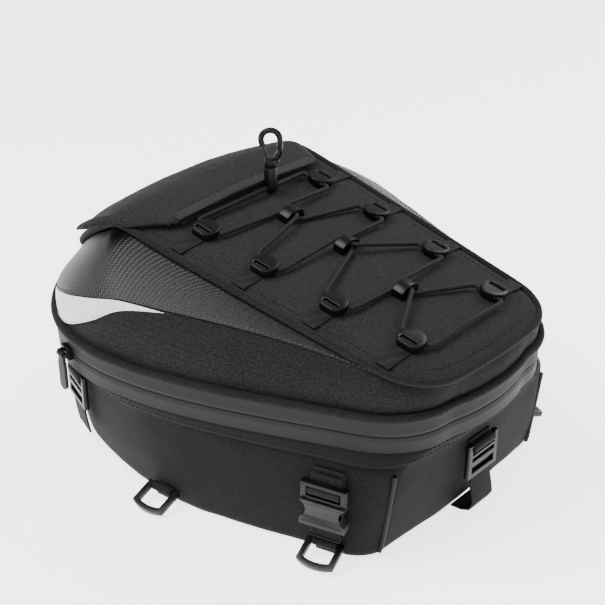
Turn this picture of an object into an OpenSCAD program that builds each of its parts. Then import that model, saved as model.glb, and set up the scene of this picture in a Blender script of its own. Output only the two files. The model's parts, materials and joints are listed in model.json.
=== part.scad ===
// Tail bag: a padded, zipped bag for the rear seat of a motorcycle.
// Origin: middle of the flat base, on the surface it rests on. +X points to the
// narrow end, +Z up, the two long sides face +Y (left) and -Y (right).

/* [Body] */
// Length of the bag over the piping of the zip band
bag_len = 380; // [310:5:460]
// Width of the zip band at its widest
bag_w = 324; // [268:2:390]
// Length of the base
base_len = 349; // [285:1:420]
// Width of the base at its widest
base_w = 288; // [238:2:348]
// Height of the lower compartment up to the zip band
lower_h = 86; // [70:1:104]
// Thickness of the padded fabric walls
wall = 4; // [3:0.5:6]
// Thickness of the base fabric
base_t = 2.5; // [2:0.5:4]
// Thickness of the stiffening board on the base
board_t = 2.4; // [1.5:0.1:4]

/* [Zip band] */
// Height of the zip band between the two piping lines
band_h = 24; // [19:1:30]
// Thickness of the coated zip tape
tape_t = 1.4; // [1:0.1:2.5]
// Gap between the two zip tapes, filled by the zip's coils
zip_gap = 0.6; // [0.4:0.1:1]
// Height of the woven hem below the zip band
hem_h = 9; // [7:1:13]
// Thickness of the hem binding
hem_t = 1.4; // [1:0.1:2.5]

/* [Lid] */
// Height of the lid's top seam above the zip band at the wide end
lid_h = 71; // [59:1:86]
// Drop of the top panel for each mm towards the narrow end
lid_slope = 0.168; // [0.14:0.001:0.2]
// Rise of the top panel's middle above its seams
crown = 5; // [4:0.5:9]
// Thickness of the padded top panel
panel_t = 5; // [4:0.5:7]
// Radius of the piping round the top panel
top_pipe_r = 2.3; // [1.8:0.1:3]
// Radius of the padded piping above the zip band
band_pipe_r = 3; // [2.4:0.1:3.6]
// Thickness of the coated side trims
trim_t = 0.9; // [0.6:0.1:1.5]

/* [Flap] */
// Thickness of the padded flap
flap_t = 4; // [3.5:0.5:6]
// Space between flap and top panel, taken by hook and loop tape
flap_gap = 2.2; // [2:0.1:4]
// Width of the hook and loop tapes
tape_w = 16; // [12:1:20]

/* [Cord lacing] */
// Radius of the elastic cord
cord_r = 1.7; // [1.4:0.1:2]
// Width of a cord anchor
anchor_w = 20; // [18:1:24]
// Width of the webbing that holds an anchor
tab_w = 12; // [10:1:13]
// Radial clearance of the cord in anchors, clips and hook
cord_gap = 0.3; // [0.2:0.1:0.5]

/* [Hook] */
// Radius of the hook's swivel barrel
barrel_r = 5.2; // [4.6:0.1:6]
// Length of the barrel above the cord
barrel_h = 17; // [14:1:21]
// Inner radius of the hook's bend
bend_r = 5; // [4:0.5:7]
// Radius of the hook's bar
bar_r = 2.2; // [1.8:0.1:2.8]
// Height of the hook above its collar
hook_h = 23; // [19:1:28]

/* [Straps] */
// Width of the mounting webbing
web_w = 25; // [20:1:30]
// Thickness of the webbing
web_t = 1.5; // [1.2:0.1:2]
// Radius of the bars that webbing turns round
bar_rod_r = 2; // [1.7:0.1:2.4]
// Clearance of a bar in its webbing loop
loop_gap = 0.15; // [0.1:0.05:0.3]
// Width of the webbing that holds a D-ring
ring_web_w = 18; // [16:1:22]
// Length of a D-ring from its bar to its bow
ring_len = 20; // [18:1:25]
// Place along the bag of the middle D-rings
ring_x = 2; // [-20:1:20]
// Distance of the buckle straps from the narrow end of the base
strap_in = 32; // [30:1:50]
// Place along the bag of the rear strap adjusters
adjuster_x = -96; // [-110:1:-80]
// Height of a strap adjuster
adjuster_h = 28; // [25:1:33]

/* [Hidden] */
$fn = 32;

gap = 0.3;                         // clearance between neighbouring pieces
band_z = lower_h + band_h;         // top of the zip band
split_z = lower_h + band_h / 2;    // where the lid parts from the body
half_len = bag_len / 2 - 4;

// A loop is the plan of one level of the bag:
// [wide end x, x of widest, narrow end x, half width, corner centre y, corner r,
//  side angle at the corner, bow of the narrow end, roundness of the wide end]
band_loop = [-half_len, -0.14 * bag_len, half_len, bag_w / 2, 0.132 * bag_w, 60, 24, 6, 2];
base_x0 = 3 - bag_len / 2;
strap_x = base_x0 + base_len - strap_in;
base_loop = [base_x0, 0, base_x0 + base_len, base_w / 2, base_w / 2 - 61, 27, 11, 3, 2.3];
shoulder_z = lower_h - 13;
shoulder_loop = [0.5 - half_len, -0.066 * bag_len, half_len - 12,
                 (base_w + bag_w) / 4 - 0.5, base_w / 2 - 70, 32, 17, 4, 2.15];

function lerp(a, b, t) = a + (b - a) * t;
function mix(a, b, t) = [for (i = [0 : len(a) - 1]) lerp(a[i], b[i], t)];
function inset(l, d) = [l[0] + d, l[1], l[2] - d, l[3] - d, l[4], l[5] - d, l[6], l[7], l[8]];
function hermite(p, q, u, v, t) =
  p * (2 * pow(t, 3) - 3 * t * t + 1) + u * (pow(t, 3) - 2 * t * t + t)
  + q * (3 * t * t - 2 * pow(t, 3)) + v * (pow(t, 3) - t * t);
function mirror_y(p) = [p[0], -p[1]];

wide_n = 6;    // steps round the wide end
side_n = 6;    // steps along a side
corner_n = 4;  // steps round a narrow corner
end_n = 3;     // steps across half the narrow end
half_n = wide_n + side_n + corner_n + end_n;
loop_n = 2 * half_n;

// Half of a loop, from the wide end's middle to the narrow end's middle
function half_loop(l) =
  let (cx = l[2] - l[7] - l[5], a0 = 90 - l[6],
       p = [l[1], l[3]], q = [cx + l[5] * cos(a0), l[4] + l[5] * sin(a0)], s = q[0] - p[0])
  concat(
    [for (i = [0 : wide_n]) let (a = 90 * i / wide_n)
      [l[1] + (l[0] - l[1]) * pow(cos(a), 2 / l[8]), l[3] * pow(sin(a), 2 / l[8])]],
    [for (i = [1 : side_n - 1])
      hermite(p, q, [s, 0], [s, -s * tan(l[6])], i / side_n)],
    [for (i = [0 : corner_n]) let (a = a0 * (1 - i / corner_n))
      [cx + l[5] * cos(a), l[4] + l[5] * sin(a)]],
    [for (i = [1 : end_n]) let (t = i / end_n)
      [l[2] - l[7] * pow(1 - t, 2), l[4] * (1 - t)]]);
function whole(h) = concat(h, [for (i = [half_n - 1 : -1 : 1]) mirror_y(h[i])]);
function at_z(h, z) = [for (p = h) [p[0], p[1], z]];
function ring(l, z) = at_z(whole(half_loop(l)), z);
function side_y(l, x) = lookup(x, half_loop(l));
function side_angle(l, x) = atan2(side_y(l, x + 3) - side_y(l, x - 3), 6);

// Closed solid through a list of rings, joined last to first
module band_solid(rings) {
  n = len(rings[0]);
  m = len(rings);
  polyhedron(points = [for (r = rings) each r],
    faces = [for (k = [0 : m - 1], i = [0 : n - 1])
      let (a = k * n + i, b = k * n + (i + 1) % n,
           c = ((k + 1) % m) * n + (i + 1) % n, d = ((k + 1) % m) * n + i)
      each [[a, b, c], [a, c, d]]]);
}
// Closed solid between two grids of points with the same rows
module slab(top, under) {
  r = len(top);
  c = len(top[0]);
  n = r * c;
  function id(g, i, j) = g * n + i * c + j;
  polyhedron(points = concat([for (p = top) each p], [for (p = under) each p]),
    faces = concat(
      [for (i = [0 : r - 2], j = [0 : c - 2])
        each [[id(0, i, j), id(0, i, j + 1), id(0, i + 1, j + 1)],
              [id(0, i, j), id(0, i + 1, j + 1), id(0, i + 1, j)]]],
      [for (i = [0 : r - 2], j = [0 : c - 2])
        each [[id(1, i, j), id(1, i + 1, j + 1), id(1, i, j + 1)],
              [id(1, i, j), id(1, i + 1, j), id(1, i + 1, j + 1)]]],
      [for (j = [0 : c - 2])
        each [[id(0, 0, j), id(1, 0, j), id(1, 0, j + 1)],
              [id(0, 0, j), id(1, 0, j + 1), id(0, 0, j + 1)],
              [id(0, r - 1, j), id(1, r - 1, j + 1), id(1, r - 1, j)],
              [id(0, r - 1, j), id(0, r - 1, j + 1), id(1, r - 1, j + 1)]]],
      [for (i = [0 : r - 2])
        each [[id(0, i, 0), id(1, i + 1, 0), id(1, i, 0)],
              [id(0, i, 0), id(0, i + 1, 0), id(1, i + 1, 0)],
              [id(0, i, c - 1), id(1, i, c - 1), id(1, i + 1, c - 1)],
              [id(0, i, c - 1), id(1, i + 1, c - 1), id(0, i + 1, c - 1)]]]));
}
function unit(v) = v / norm(v);
// Rings of a tube along a path: near each point, sides points at radius r
function tube_rings(path, r, sides, closed) =
  let (n = len(path))
  [for (i = [0 : n - 1])
    let (before = path[closed ? (i + n - 1) % n : max(i - 1, 0)],
         after = path[closed ? (i + 1) % n : min(i + 1, n - 1)],
         t = unit(after - before), u = unit(cross(t, [0.02, 0.03, 1])), v = cross(u, t))
    [for (k = [0 : sides - 1]) let (a = 360 * (k + 0.5) / sides)
      path[i] + r * (cos(a) * u + sin(a) * v)]];
module loop_tube(path, r, sides) {
  band_solid(tube_rings(path, r, sides, true));
}
module open_tube(path, r, sides) {
  rings = tube_rings(path, r, sides, false);
  m = len(rings);
  polyhedron(points = [for (q = rings) each q],
    faces = concat(
      [for (k = [0 : m - 2], i = [0 : sides - 1])
        let (a = k * sides + i, b = k * sides + (i + 1) % sides)
        each [[a, b, b + sides], [a, b + sides, a + sides]]],
      [[for (i = [sides - 1 : -1 : 0]) i], [for (i = [0 : sides - 1]) (m - 1) * sides + i]]));
}

// ---- Lower body ----
hem_zs = [lower_h - hem_h, lower_h - hem_h / 2, lower_h];
wall_zs = concat([0, 5, 38, shoulder_z], hem_zs);
foot_round = 3;   // how far the wall's foot turns in
hem_in = 2.4;     // how far the hem's top lies inside the zip band's face
function wall_loop(z) =
  z < 5 ? inset(base_loop, foot_round)
  : z > shoulder_z ? mix(shoulder_loop, inset(band_loop, hem_in), (z - shoulder_z) / (lower_h - shoulder_z))
  : mix(base_loop, shoulder_loop, z / shoulder_z);

module base_panel() {
  color([0.07, 0.07, 0.08])
    linear_extrude(base_t)
      polygon(whole(half_loop(inset(base_loop, foot_round + wall + gap))));
}
module base_board() {
  color([0.12, 0.12, 0.12])
    translate([0, 0, base_t + gap])
      linear_extrude(board_t)
        polygon(whole(half_loop(inset(base_loop, foot_round + wall + 2))));
}
module side_wall() {
  color([0.11, 0.11, 0.12])
    band_solid(concat(
      [for (z = wall_zs) ring(wall_loop(z), z)],
      [for (i = [len(wall_zs) - 1 : -1 : 0]) ring(inset(wall_loop(wall_zs[i]), wall), wall_zs[i])]));
}
hem_gap = 1;      // space between the wall and the hem's binding
module hem_binding() {
  color([0.1, 0.1, 0.1])
    band_solid(concat(
      [for (z = hem_zs) ring(inset(wall_loop(z), -hem_gap - hem_t), min(z, lower_h - gap))],
      [for (i = [2 : -1 : 0]) let (z = hem_zs[i])
        ring(inset(wall_loop(z), -hem_gap), min(z, lower_h - gap))]));
}
pipe_r = 2;       // radius of the piping on the narrow corners
module corner_piping() {
  foot_c = corner_point(wall_loop(5), pipe_r + gap);
  top_c = corner_point(wall_loop(shoulder_z - 4), pipe_r + gap);
  for (s = [-1, 1])
    color([0.09, 0.09, 0.1])
      rod([foot_c[0], s * foot_c[1], 5], [top_c[0], s * top_c[1], shoulder_z - 4], pipe_r);
}
function corner_point(l, out) =
  let (a = 25, cx = l[2] - l[7] - l[5]) [cx + (l[5] + out) * cos(a), l[4] + (l[5] + out) * sin(a)];
module rod(p, q, r) {
  d = q - p;
  translate(p)
    rotate([0, acos(d[2] / norm(d)), atan2(d[1], d[0])])
      cylinder(h = norm(d), r = r);
}

// ---- Zip ----
zip_end_x = -84;       // where the zip stops on both sides, the lid's fabric hinge is behind
coil_r = 1.2;
module tape(z0, z1) {
  color([0.2, 0.2, 0.21])
    band_solid([ring(band_loop, z0), ring(band_loop, z1),
                ring(inset(band_loop, tape_t), z1), ring(inset(band_loop, tape_t), z0)]);
}
module coil(z) {
  path = [for (p = ring(inset(band_loop, tape_t + gap + coil_r), z)) if (p[0] > zip_end_x) p];
  color([0.05, 0.05, 0.05]) open_tube(path, coil_r, 6);
}
module zip_tape_lower() { tape(lower_h + gap, split_z - zip_gap / 2); }
module zip_tape_upper() { tape(split_z + zip_gap / 2, band_z); }
module zip_coil_lower() { coil(split_z - zip_gap / 2 - coil_r); }
module zip_coil_upper() { coil(split_z + zip_gap / 2 + coil_r); }

// Puts children on a side of the bag: local +X along the wall, +Y outwards
module on_side(l, x, z, side) {
  mirror([0, side > 0 ? 0 : 1, 0])
    translate([x, side_y(l, x), z])
      rotate([0, 0, side_angle(l, x)])
        children();
}
// The same, with local +Z leaning out along the wall below the shoulder
function lean(x) =
  atan((side_y(shoulder_loop, x) - side_y(base_loop, x)) * cos(side_angle(base_loop, x)) / shoulder_z);
module on_wall(x, z, side) {
  on_side(wall_loop(z), x, z, side) rotate([-lean(x), 0, 0]) children();
}
slider = [12, 4, 9];
pull = [9, 2.4, 30];
pin_r = 1.1;
pull_y = slider[1] + gap + 3;    // the pull's pin, outwards from the tape
module zip_slider() {
  color([0.08, 0.08, 0.08])
    on_side(band_loop, zip_end_x, split_z, -1) {
      translate([-slider[0] / 2, gap, -slider[2] / 2]) cube(slider);
      translate([0, pull_y, 0]) rotate([0, 90, 0]) cylinder(h = slider[0] - 1, r = pin_r, center = true);
      for (s = [-1, 1])
        translate([s * (slider[0] / 2 - 1) - 1, slider[1], -1.5]) cube([2, pull_y - slider[1], 3]);
    }
}
module zip_pull() {
  color([0.13, 0.13, 0.13])
    on_side(band_loop, zip_end_x, split_z, -1)
      translate([0, pull_y, 0])
        difference() {
          union() {
            rotate([0, 90, 0]) cylinder(h = slider[0] - 4.6, r = 2.3, center = true);
            translate([-3.6, -pull[1] / 2, -8]) cube([7.2, pull[1], 7]);
            translate([-pull[0] / 2, -pull[1] / 2, -pull[2] + 4]) cube([pull[0], pull[1], pull[2] - 11]);
            translate([0, 0, -pull[2] + 4]) rotate([90, 0, 0])
              cylinder(h = pull[1], r = pull[0] / 2, center = true);
          }
          rotate([0, 90, 0]) cylinder(h = slider[0], r = pin_r + loop_gap, center = true);
        }
}

// ---- Webbing, rings and buckles ----
sleeve_r = bar_rod_r + loop_gap + web_t;    // outside of webbing turned round a bar
ring_w = ring_web_w + 10;
ring_t = 2 * bar_rod_r;
ring_z = 11;                                // height of the D-rings' bars
ring_tilt = 18;                             // how far a ring leans down from level
function ring_loop() = wall_loop(ring_z);
bar_out = sleeve_r + gap + 0.4;             // a bar's distance from the wall

module d_ring(x, side) {
  color([0.08, 0.08, 0.08])
    on_side(ring_loop(), x, ring_z, side)
      translate([0, bar_out, 0])
        rotate([-ring_tilt, 0, 0]) {
          rotate([0, 90, 0]) cylinder(h = ring_w - 2, r = bar_rod_r, center = true);
          translate([0, 0, -bar_rod_r]) linear_extrude(ring_t)
            difference() {
              ring_outline(0);
              ring_outline(ring_t);
              translate([-ring_web_w / 2 - 1, -ring_t]) square([ring_web_w + 2, 2 * ring_t]);
            }
        }
}
// The D's outline: straight bar side, straight cheeks and a round bow
module ring_outline(d) {
  intersection() {
    translate([-ring_w / 2 + d, -bar_rod_r]) square([ring_w - 2 * d, ring_len + ring_t]);
    translate([0, ring_len - 30]) circle(r = 32 - d, $fn = 64);
  }
}
module sleeve(length, tail) {
  difference() {
    union() {
      rotate([0, 90, 0]) cylinder(h = length, r = sleeve_r, center = true);
      translate([-length / 2, -sleeve_r, -tail]) cube([length, web_t, tail]);
    }
    rotate([0, 90, 0]) cylinder(h = length + 1, r = bar_rod_r + loop_gap, center = true);
  }
}
module ring_webbing(x, side) {
  color([0.13, 0.13, 0.12])
    on_side(ring_loop(), x, ring_z, side)
      translate([0, bar_out, 0]) sleeve(ring_web_w, ring_z - 2);
}

buckle = [web_w + 9, 8, 20];     // the socket
buckle_z = 29;                   // the socket's foot
buckle_y = 5;                    // the socket's back, outwards from the wall
prong_w = 6;
prong_len = 14;
plug_gap = 0.4;
module socket_body() {
  inner = [web_w + 1, buckle[1] - 3, prong_len + 2];
  difference() {
    translate([-buckle[0] / 2, 0, 0]) cube(buckle);
    translate([-inner[0] / 2, 1.5, buckle[2] - inner[2]]) cube([inner[0], inner[1], inner[2] + 1]);
    for (s = [-1, 1])
      translate([s * (buckle[0] / 2 + 3), -1, buckle[2] * 0.62]) rotate([-90, 0, 0])
        cylinder(h = buckle[1] + 2, r = 7.6);
    translate([-web_w / 2 - 0.5, 2.4, -1]) cube([web_w + 1, 3.2, 4]);
  }
}
module buckle_socket(side) {
  color([0.24, 0.24, 0.25])
    on_wall(strap_x, buckle_z, side) translate([0, buckle_y, 0]) socket_body();
}
module buckle_plug(side) {
  head_h = 13;
  bar_z = 7;
  color([0.1, 0.1, 0.1])
    on_wall(strap_x, buckle_z, side)
      translate([0, buckle_y, buckle[2]]) {
        difference() {
          translate([-buckle[0] / 2, 0, plug_gap]) cube([buckle[0], buckle[1] - 2, head_h]);
          translate([-web_w / 2 - 0.5, -1, 2.6]) cube([web_w + 1, buckle[1], 2 * sleeve_r + 1]);
          translate([-web_w / 2 - 0.5, -1, 2 * sleeve_r]) cube([web_w + 1, 1 + web_t, head_h]);
        }
        translate([0, bar_rod_r + 1, bar_z]) rotate([0, 90, 0])
          cylinder(h = web_w + 2, r = bar_rod_r, center = true);
        for (s = [-1, 1])
          translate([s * (web_w / 2 - 4) - prong_w / 2, 1.5 + plug_gap, -prong_len])
            cube([prong_w, buckle[1] - 3 - 2 * plug_gap, prong_len + 1]);
      }
}
// The turned end of the upper webbing, which holds the plug's bar
module plug_webbing(side) {
  color([0.13, 0.13, 0.12])
    on_wall(strap_x, buckle_z, side)
      translate([0, buckle_y + bar_rod_r + 1, buckle[2] + 7])
        difference() {
          union() {
            rotate([0, 90, 0]) cylinder(h = web_w - 1, r = sleeve_r, center = true);
            translate([-web_w / 2 + 0.5, -sleeve_r, 0]) cube([web_w - 1, web_t, 12]);
          }
          rotate([0, 90, 0]) cylinder(h = web_w, r = bar_rod_r + loop_gap, center = true);
        }
}
// The webbing on the wall, from the base seam up to the hem, behind the buckle
module buckle_strap(side) {
  foot = ring_z + sleeve_r + 2.5 - buckle_z;
  color([0.13, 0.13, 0.12])
    on_wall(strap_x, buckle_z, side) {
      translate([-web_w / 2 + 0.5, 1, foot]) cube([web_w - 1, web_t, shoulder_z - 2 - buckle_z - foot]);
      translate([-web_w / 2 + 0.5, 1, foot]) cube([web_w - 1, buckle_y + 1.2 + web_t, web_t]);
      translate([-web_w / 2 + 0.5, buckle_y + 1.2, foot]) cube([web_w - 1, web_t, -foot - gap]);
    }
}

adj_t = 4;
adj_w = web_w + 9;
adj_z = 66;                      // height of a rear adjuster's pivot bar
front_z = 58;                    // height of the narrow end's
module adjuster_shape() {
  rotate([0, 90, 0]) cylinder(h = adj_w - 2, r = bar_rod_r, center = true);
  difference() {
    translate([-adj_w / 2, -adj_t / 2, -adjuster_h + 4]) cube([adj_w, adj_t, adjuster_h]);
    translate([-web_w / 2 - 0.8, -adj_t, -sleeve_r - 1.5])
      cube([web_w + 1.6, 2 * adj_t, 2 * sleeve_r + 4]);
    translate([-web_w / 2 - 0.8, -adj_t, -11]) cube([web_w + 1.6, 2 * adj_t, 4]);
    translate([-web_w / 2 - 0.8, -adj_t, 7 - adjuster_h]) cube([web_w + 1.6, 2 * adj_t, adjuster_h - 21.5]);
  }
}
module adjuster_loop() {
  translate([-web_w / 2 + 0.5, -sleeve_r, 0]) cube([web_w - 1, web_t, 6.5]);
  difference() {
    rotate([0, 90, 0]) cylinder(h = web_w - 1, r = sleeve_r, center = true);
    rotate([0, 90, 0]) cylinder(h = web_w, r = bar_rod_r + loop_gap, center = true);
  }
}
// A flat band swept along points [outwards, z]
module ribbon(points, width) {
  n = len(points);
  function side(i) =
    let (d = points[min(i + 1, n - 1)] - points[max(i - 1, 0)])
    [-d[1], d[0]] / norm(d) * web_t / 2;
  rotate([90, 0, 90])
    linear_extrude(width, center = true)
      polygon(concat([for (i = [0 : n - 1]) points[i] + side(i)],
                     [for (i = [n - 1 : -1 : 0]) points[i] - side(i)]));
}
adj_out = sleeve_r + gap + 1.6;
module at_front(z) {
  translate([lerp(base_loop[2], shoulder_loop[2], z / shoulder_z), 0, z]) rotate([0, 0, -90]) children();
}
module at_rear(z, side) { on_side(wall_loop(z), adjuster_x, z, side) children(); }
module adjuster_webbing() { color([0.13, 0.13, 0.12]) translate([0, adj_out, 0]) adjuster_loop(); }
module adjuster() { color([0.1, 0.1, 0.1]) translate([0, adj_out, 0]) adjuster_shape(); }
// The long strap: down from the adjuster, out in a slack bow and back under the foot
front_route = [[adj_out, 33], [adj_out + 1, 25], [adj_out + 3, 17], [adj_out + 4, 11],
               [adj_out + 1, 5], [adj_out - 6, 2], [adj_out - 15, 1.2]];
rear_route = [[adj_out, 41], [adj_out - 0.5, 34], [adj_out - 1.5, 26], [adj_out - 3, 17]];
module strap(route, z) {
  color([0.13, 0.13, 0.12]) translate([0, 0, -z]) ribbon(route, web_w - 1);
}

// ---- Lid ----
dome_x = -85;                    // where the top panel starts to roll down
dome_foot = band_z + 11;          // height of its lower edge at the wide end
seam_h = band_z + lid_h;
function seam_z(x) = seam_h - (x - dome_x) * lid_slope;
function band_x(y) =
  let (h = half_loop(band_loop))
  lookup(-abs(y), [for (i = [wide_n : -1 : 0]) [-h[i][1], h[i][0]]]);
panel_w = 0.6 * bag_w;          // width of the top panel where it starts to roll
// Rolled part of the seam: [angle up from the foot, half width]
roll = [[0, 0.32 * panel_w], [26, 0.43 * panel_w], [47, 0.485 * panel_w], [70, 0.51 * panel_w]];
panel_r = 40;                    // corner radius at the narrow end
panel_end = half_len - 5;
panel_end_w = 0.41 * panel_w;
panel_cx = panel_end - panel_r;
dome_n = 1.5;                    // how full the roll is, 2 is an ellipse
function dome(a, y) =
  [dome_x - (dome_x - 3 - band_x(y)) * pow(cos(a), 2 / dome_n), y,
   dome_foot + (seam_h - dome_foot) * pow(sin(a), 2 / dome_n)];
// Half of the top panel's seam, with the same stations as a loop's half
seam_half = concat(
  [for (i = [0 : 2]) dome(0, roll[0][1] * i / 3)],
  [for (r = roll) dome(r[0], r[1])],
  [for (i = [1 : side_n - 1]) let (t = (i - 1) / (side_n - 2 + 0.6))
    let (x = lerp(dome_x, panel_cx, t)) [x, lerp(0.505 * panel_w, panel_end_w, pow(t, 1.25)), seam_z(x)]],
  [for (i = [0 : corner_n]) let (a = 84 * (1 - i / corner_n), x = panel_cx + panel_r * cos(a))
    [x, panel_end_w - panel_r + panel_r * sin(a), seam_z(x)]],
  [for (i = [1 : end_n]) let (t = i / end_n, x = panel_end + 1.5 * (1 - pow(1 - t, 2)))
    [x, (panel_end_w - panel_r) * (1 - t), seam_z(x)]]);
function mirrored(h) = concat(h, [for (i = [half_n - 1 : -1 : 1]) [h[i][0], -h[i][1], h[i][2]]]);
seam = mirrored(seam_half);
seam_angle = concat([for (i = [0 : 2]) 0], [for (r = roll) r[0]], [for (i = [7 : half_n]) 90]);
// The seam moved inwards, square to the panel
function sunk_half(d) = [for (i = [0 : half_n]) let (p = seam_half[i], a = seam_angle[i])
  [p[0] + d * cos(a), p[1], p[2] - d * sin(a)]];
lid_in = 2.5;                    // how far the lid's foot lies inside the zip band's face
// A point of the lid's side: station i, share v of the way up, d inwards
function side_pt(i, v, d) =
  let (b = concat(half_loop(inset(band_loop, lid_in + d))[i], band_z),
       s = sunk_half(panel_t + gap)[i],
       t = s - d * unit([s[0] + 30, s[1] * 1.2, 0.4]),
       q = 0.12 + 0.5 * pow(cos(seam_angle[i]), 8),
       c = [lerp(b[0], t[0], q), lerp(b[1], t[1], q), lerp(b[2], t[2], 0.62)])
  b * pow(1 - v, 2) + c * 2 * v * (1 - v) + t * v * v;
function side_level(v, d) = mirrored([for (i = [0 : half_n]) side_pt(i, v, d)]);
lid_levels = [0 : 0.1 : 1];

module lid_wall() {
  color([0.13, 0.13, 0.14])
    band_solid(concat([for (v = lid_levels) side_level(v, 0)],
                      [for (v = lid_levels) side_level(1 - v, wall)]));
}
// Height of the top panel over a place on it
function half_w(x) = lookup(x, [for (i = [3 : half_n - end_n]) [seam_half[i][0], seam_half[i][1]]]);
crown_end = 30;                  // length over which the crown fades to the narrow end's seam
function fade(x) = max(0, 1 - pow(max(0, x - panel_end + crown_end) / crown_end, 2));
function crown_at(x, y) = crown * fade(x) * max(0, 1 - pow(y / half_w(x), 2));
function top_z(x, y) =
  let (w = dome_x - 3 - band_x(y))
  x >= dome_x ? seam_z(x) + crown_at(x, y)
  : dome_foot + (seam_h - dome_foot + crown_at(dome_x, y))
    * pow(max(0, 1 - pow((dome_x - x) / w, dome_n)), 1 / dome_n);
across_n = 6;
function panel_row(i, d) =
  let (p = seam_half[i], a = seam_angle[i], last = i == half_n - end_n)
  [for (k = [0 : across_n]) let (s = -1 + 2 * k / across_n, y = s * p[1])
    let (x = i < wide_n + 1 ? dome(a, y)[0] : p[0] + (last ? 1.5 * (1 - s * s) : 0))
    let (c = crown * fade(x) * (1 - s * s) * sin(a))
    [x + d * cos(a), y, p[2] + c - d * sin(a)]];
module top_panel() {
  rows = [3 : half_n - end_n];
  color([0.15, 0.14, 0.15])
    slab([for (i = rows) panel_row(i, 0)], [for (i = rows) panel_row(i, panel_t)]);
}
module top_piping() {
  s = sunk_half(0.8);
  path = mirrored([for (i = [0 : half_n])
    let (a = seam_angle[i], n = [-cos(a), 0, sin(a)],
         t = i == 0 ? [0, 1, 0] : i == half_n ? [0, -1, 0] : unit(s[i + 1] - s[i - 1]))
    s[i] + unit(cross(n, t)) * (top_pipe_r + gap)]);
  color([0.1, 0.1, 0.1]) loop_tube(path, top_pipe_r, 8);
}
module lid_piping() {
  color([0.12, 0.12, 0.12])
    band_solid([for (k = [0 : 7]) let (a = 45 * k)
      ring(inset(band_loop, lid_in - gap - band_pipe_r * (1 + cos(a))),
           band_z + band_pipe_r * (1 + sin(a)))]);
}
// A coated skin laid on the lid's side between two heights at each station
module skin(stations, low, high, side) {
  function pt(k, v, d) = let (p = side_pt(stations[k], v, -d)) [p[0], side * p[1], p[2]];
  function grid(d) =
    [for (j = [0 : 4]) [for (k = [0 : len(stations) - 1]) pt(k, lerp(low[k], high[k], j / 4), d)]];
  lift = 3 * gap;
  if (side > 0) slab(grid(lift + trim_t), grid(lift));
  else slab(grid(lift), grid(lift + trim_t));
}
trim_at = [4, 5, 6, 7, 8, 9, 10, 11];
trim_low = [0.34, 0.29, 0.47, 0.53, 0.62, 0.71, 0.81, 0.92];
trim_high = [for (i = trim_at) 0.96];
patch_at = [4, 5, 6, 7];
patch_low = [0.24, 0.14, 0.18, 0.43];
patch_high = [0.27, 0.26, 0.44, 0.49];
module trim(side) { color([0.17, 0.18, 0.19]) skin(trim_at, trim_low, trim_high, side); }
module reflector(side) { color([0.75, 0.75, 0.76]) skin(patch_at, patch_low, patch_high, side); }

// ---- Flap ----
// Plan of the flap: [x, right edge y, left edge y]
flap_plan = [[-50, -74, 74], [-58, -86, 86], [-72, -104, 93], [-86, -122, 95],
             [-97, -132, 95], [-112, -120, 92], [-128, -94, 87]];
tip_rise = 6;     // how far the flap's free tip stands off the lid
flap_hinge = flap_plan[len(flap_plan) - 1][0];
plan_w = 194.4;   // width of the top panel that the flap's plan is drawn for
function fit_y(y) = y * panel_w / plan_w;
function flap_grid(up) = [for (r = flap_plan) [for (k = [0 : 8])
  let (s = lerp(r[1], r[2], k / 8), y = fit_y(s))
  [r[0], y, top_z(r[0], y) + up + tip_rise * pow(max(0, -s - 96) / 36, 2)]]];
module flap() {
  color([0.14, 0.13, 0.14]) slab(flap_grid(flap_gap), flap_grid(flap_gap + flap_t));
}
function strip(x0, x1, y0, y1, up) = [for (x = [x0, x1]) [for (k = [0 : 8])
  let (y = fit_y(lerp(y0, y1, k / 8))) [x, y, top_z(x, y) + up]]];
binding_w = 8;
module flap_binding() {
  x0 = flap_plan[0][0];
  up = flap_gap + flap_t + gap / 2;
  color([0.08, 0.08, 0.08])
    slab(strip(x0, x0 - binding_w, -74, 76, up), strip(x0, x0 - binding_w, -74, 76, up + 1.1));
}
hook_tape_t = (flap_gap - 3 * 0.2) / 2;
module flap_hook_tape() {
  x0 = flap_plan[0][0] - 3;
  color([0.07, 0.07, 0.07])
    slab(strip(x0, x0 - tape_w, -68, 68, flap_gap - 0.2 - hook_tape_t),
         strip(x0, x0 - tape_w, -68, 68, flap_gap - 0.2));
}
module panel_loop_tape() {
  x0 = flap_plan[0][0] - 3;
  color([0.06, 0.06, 0.06])
    slab(strip(x0, x0 - tape_w, -68, 68, 0.2),
         strip(x0, x0 - tape_w, -68, 68, 0.2 + hook_tape_t));
}

// ---- Cord lacing ----
// Anchors on the left, [x, y], mirrored on the right
anchor_at = [[-34, 63], [24, 62], [85, 57], [145, 47]];
anchor_t = 6;
anchor_rise = 1.2;               // space under an anchor
cord_in = 5;                     // the cord's tunnel, inwards from an anchor's middle
cord_h = anchor_rise + anchor_t / 2;
module on_panel(x, y, h) {
  w = half_w(x);
  translate([x, y, top_z(x, y) + h])
    rotate([-atan(2 * crown * y / (w * w)), atan(lid_slope), 0]) children();
}
module anchor() {
  difference() {
    intersection() {
      cylinder(h = anchor_t, r = anchor_w / 2);
      translate([-anchor_w, -anchor_w, 0]) cube([2 * anchor_w, anchor_w + 8.5, anchor_t]);
    }
    translate([-tab_w / 2 - 0.5, 1.6, -1]) cube([tab_w + 1, 4, anchor_t + 2]);
    translate([0, -cord_in, anchor_t / 2]) rotate([0, 90, 0])
      cylinder(h = anchor_w + 2, r = cord_r + cord_gap, center = true);
  }
}
module anchors(side) {
  color([0.07, 0.07, 0.07])
    mirror([0, side > 0 ? 0 : 1, 0])
      for (p = anchor_at) on_panel(p[0], p[1], anchor_rise) anchor();
}
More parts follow.
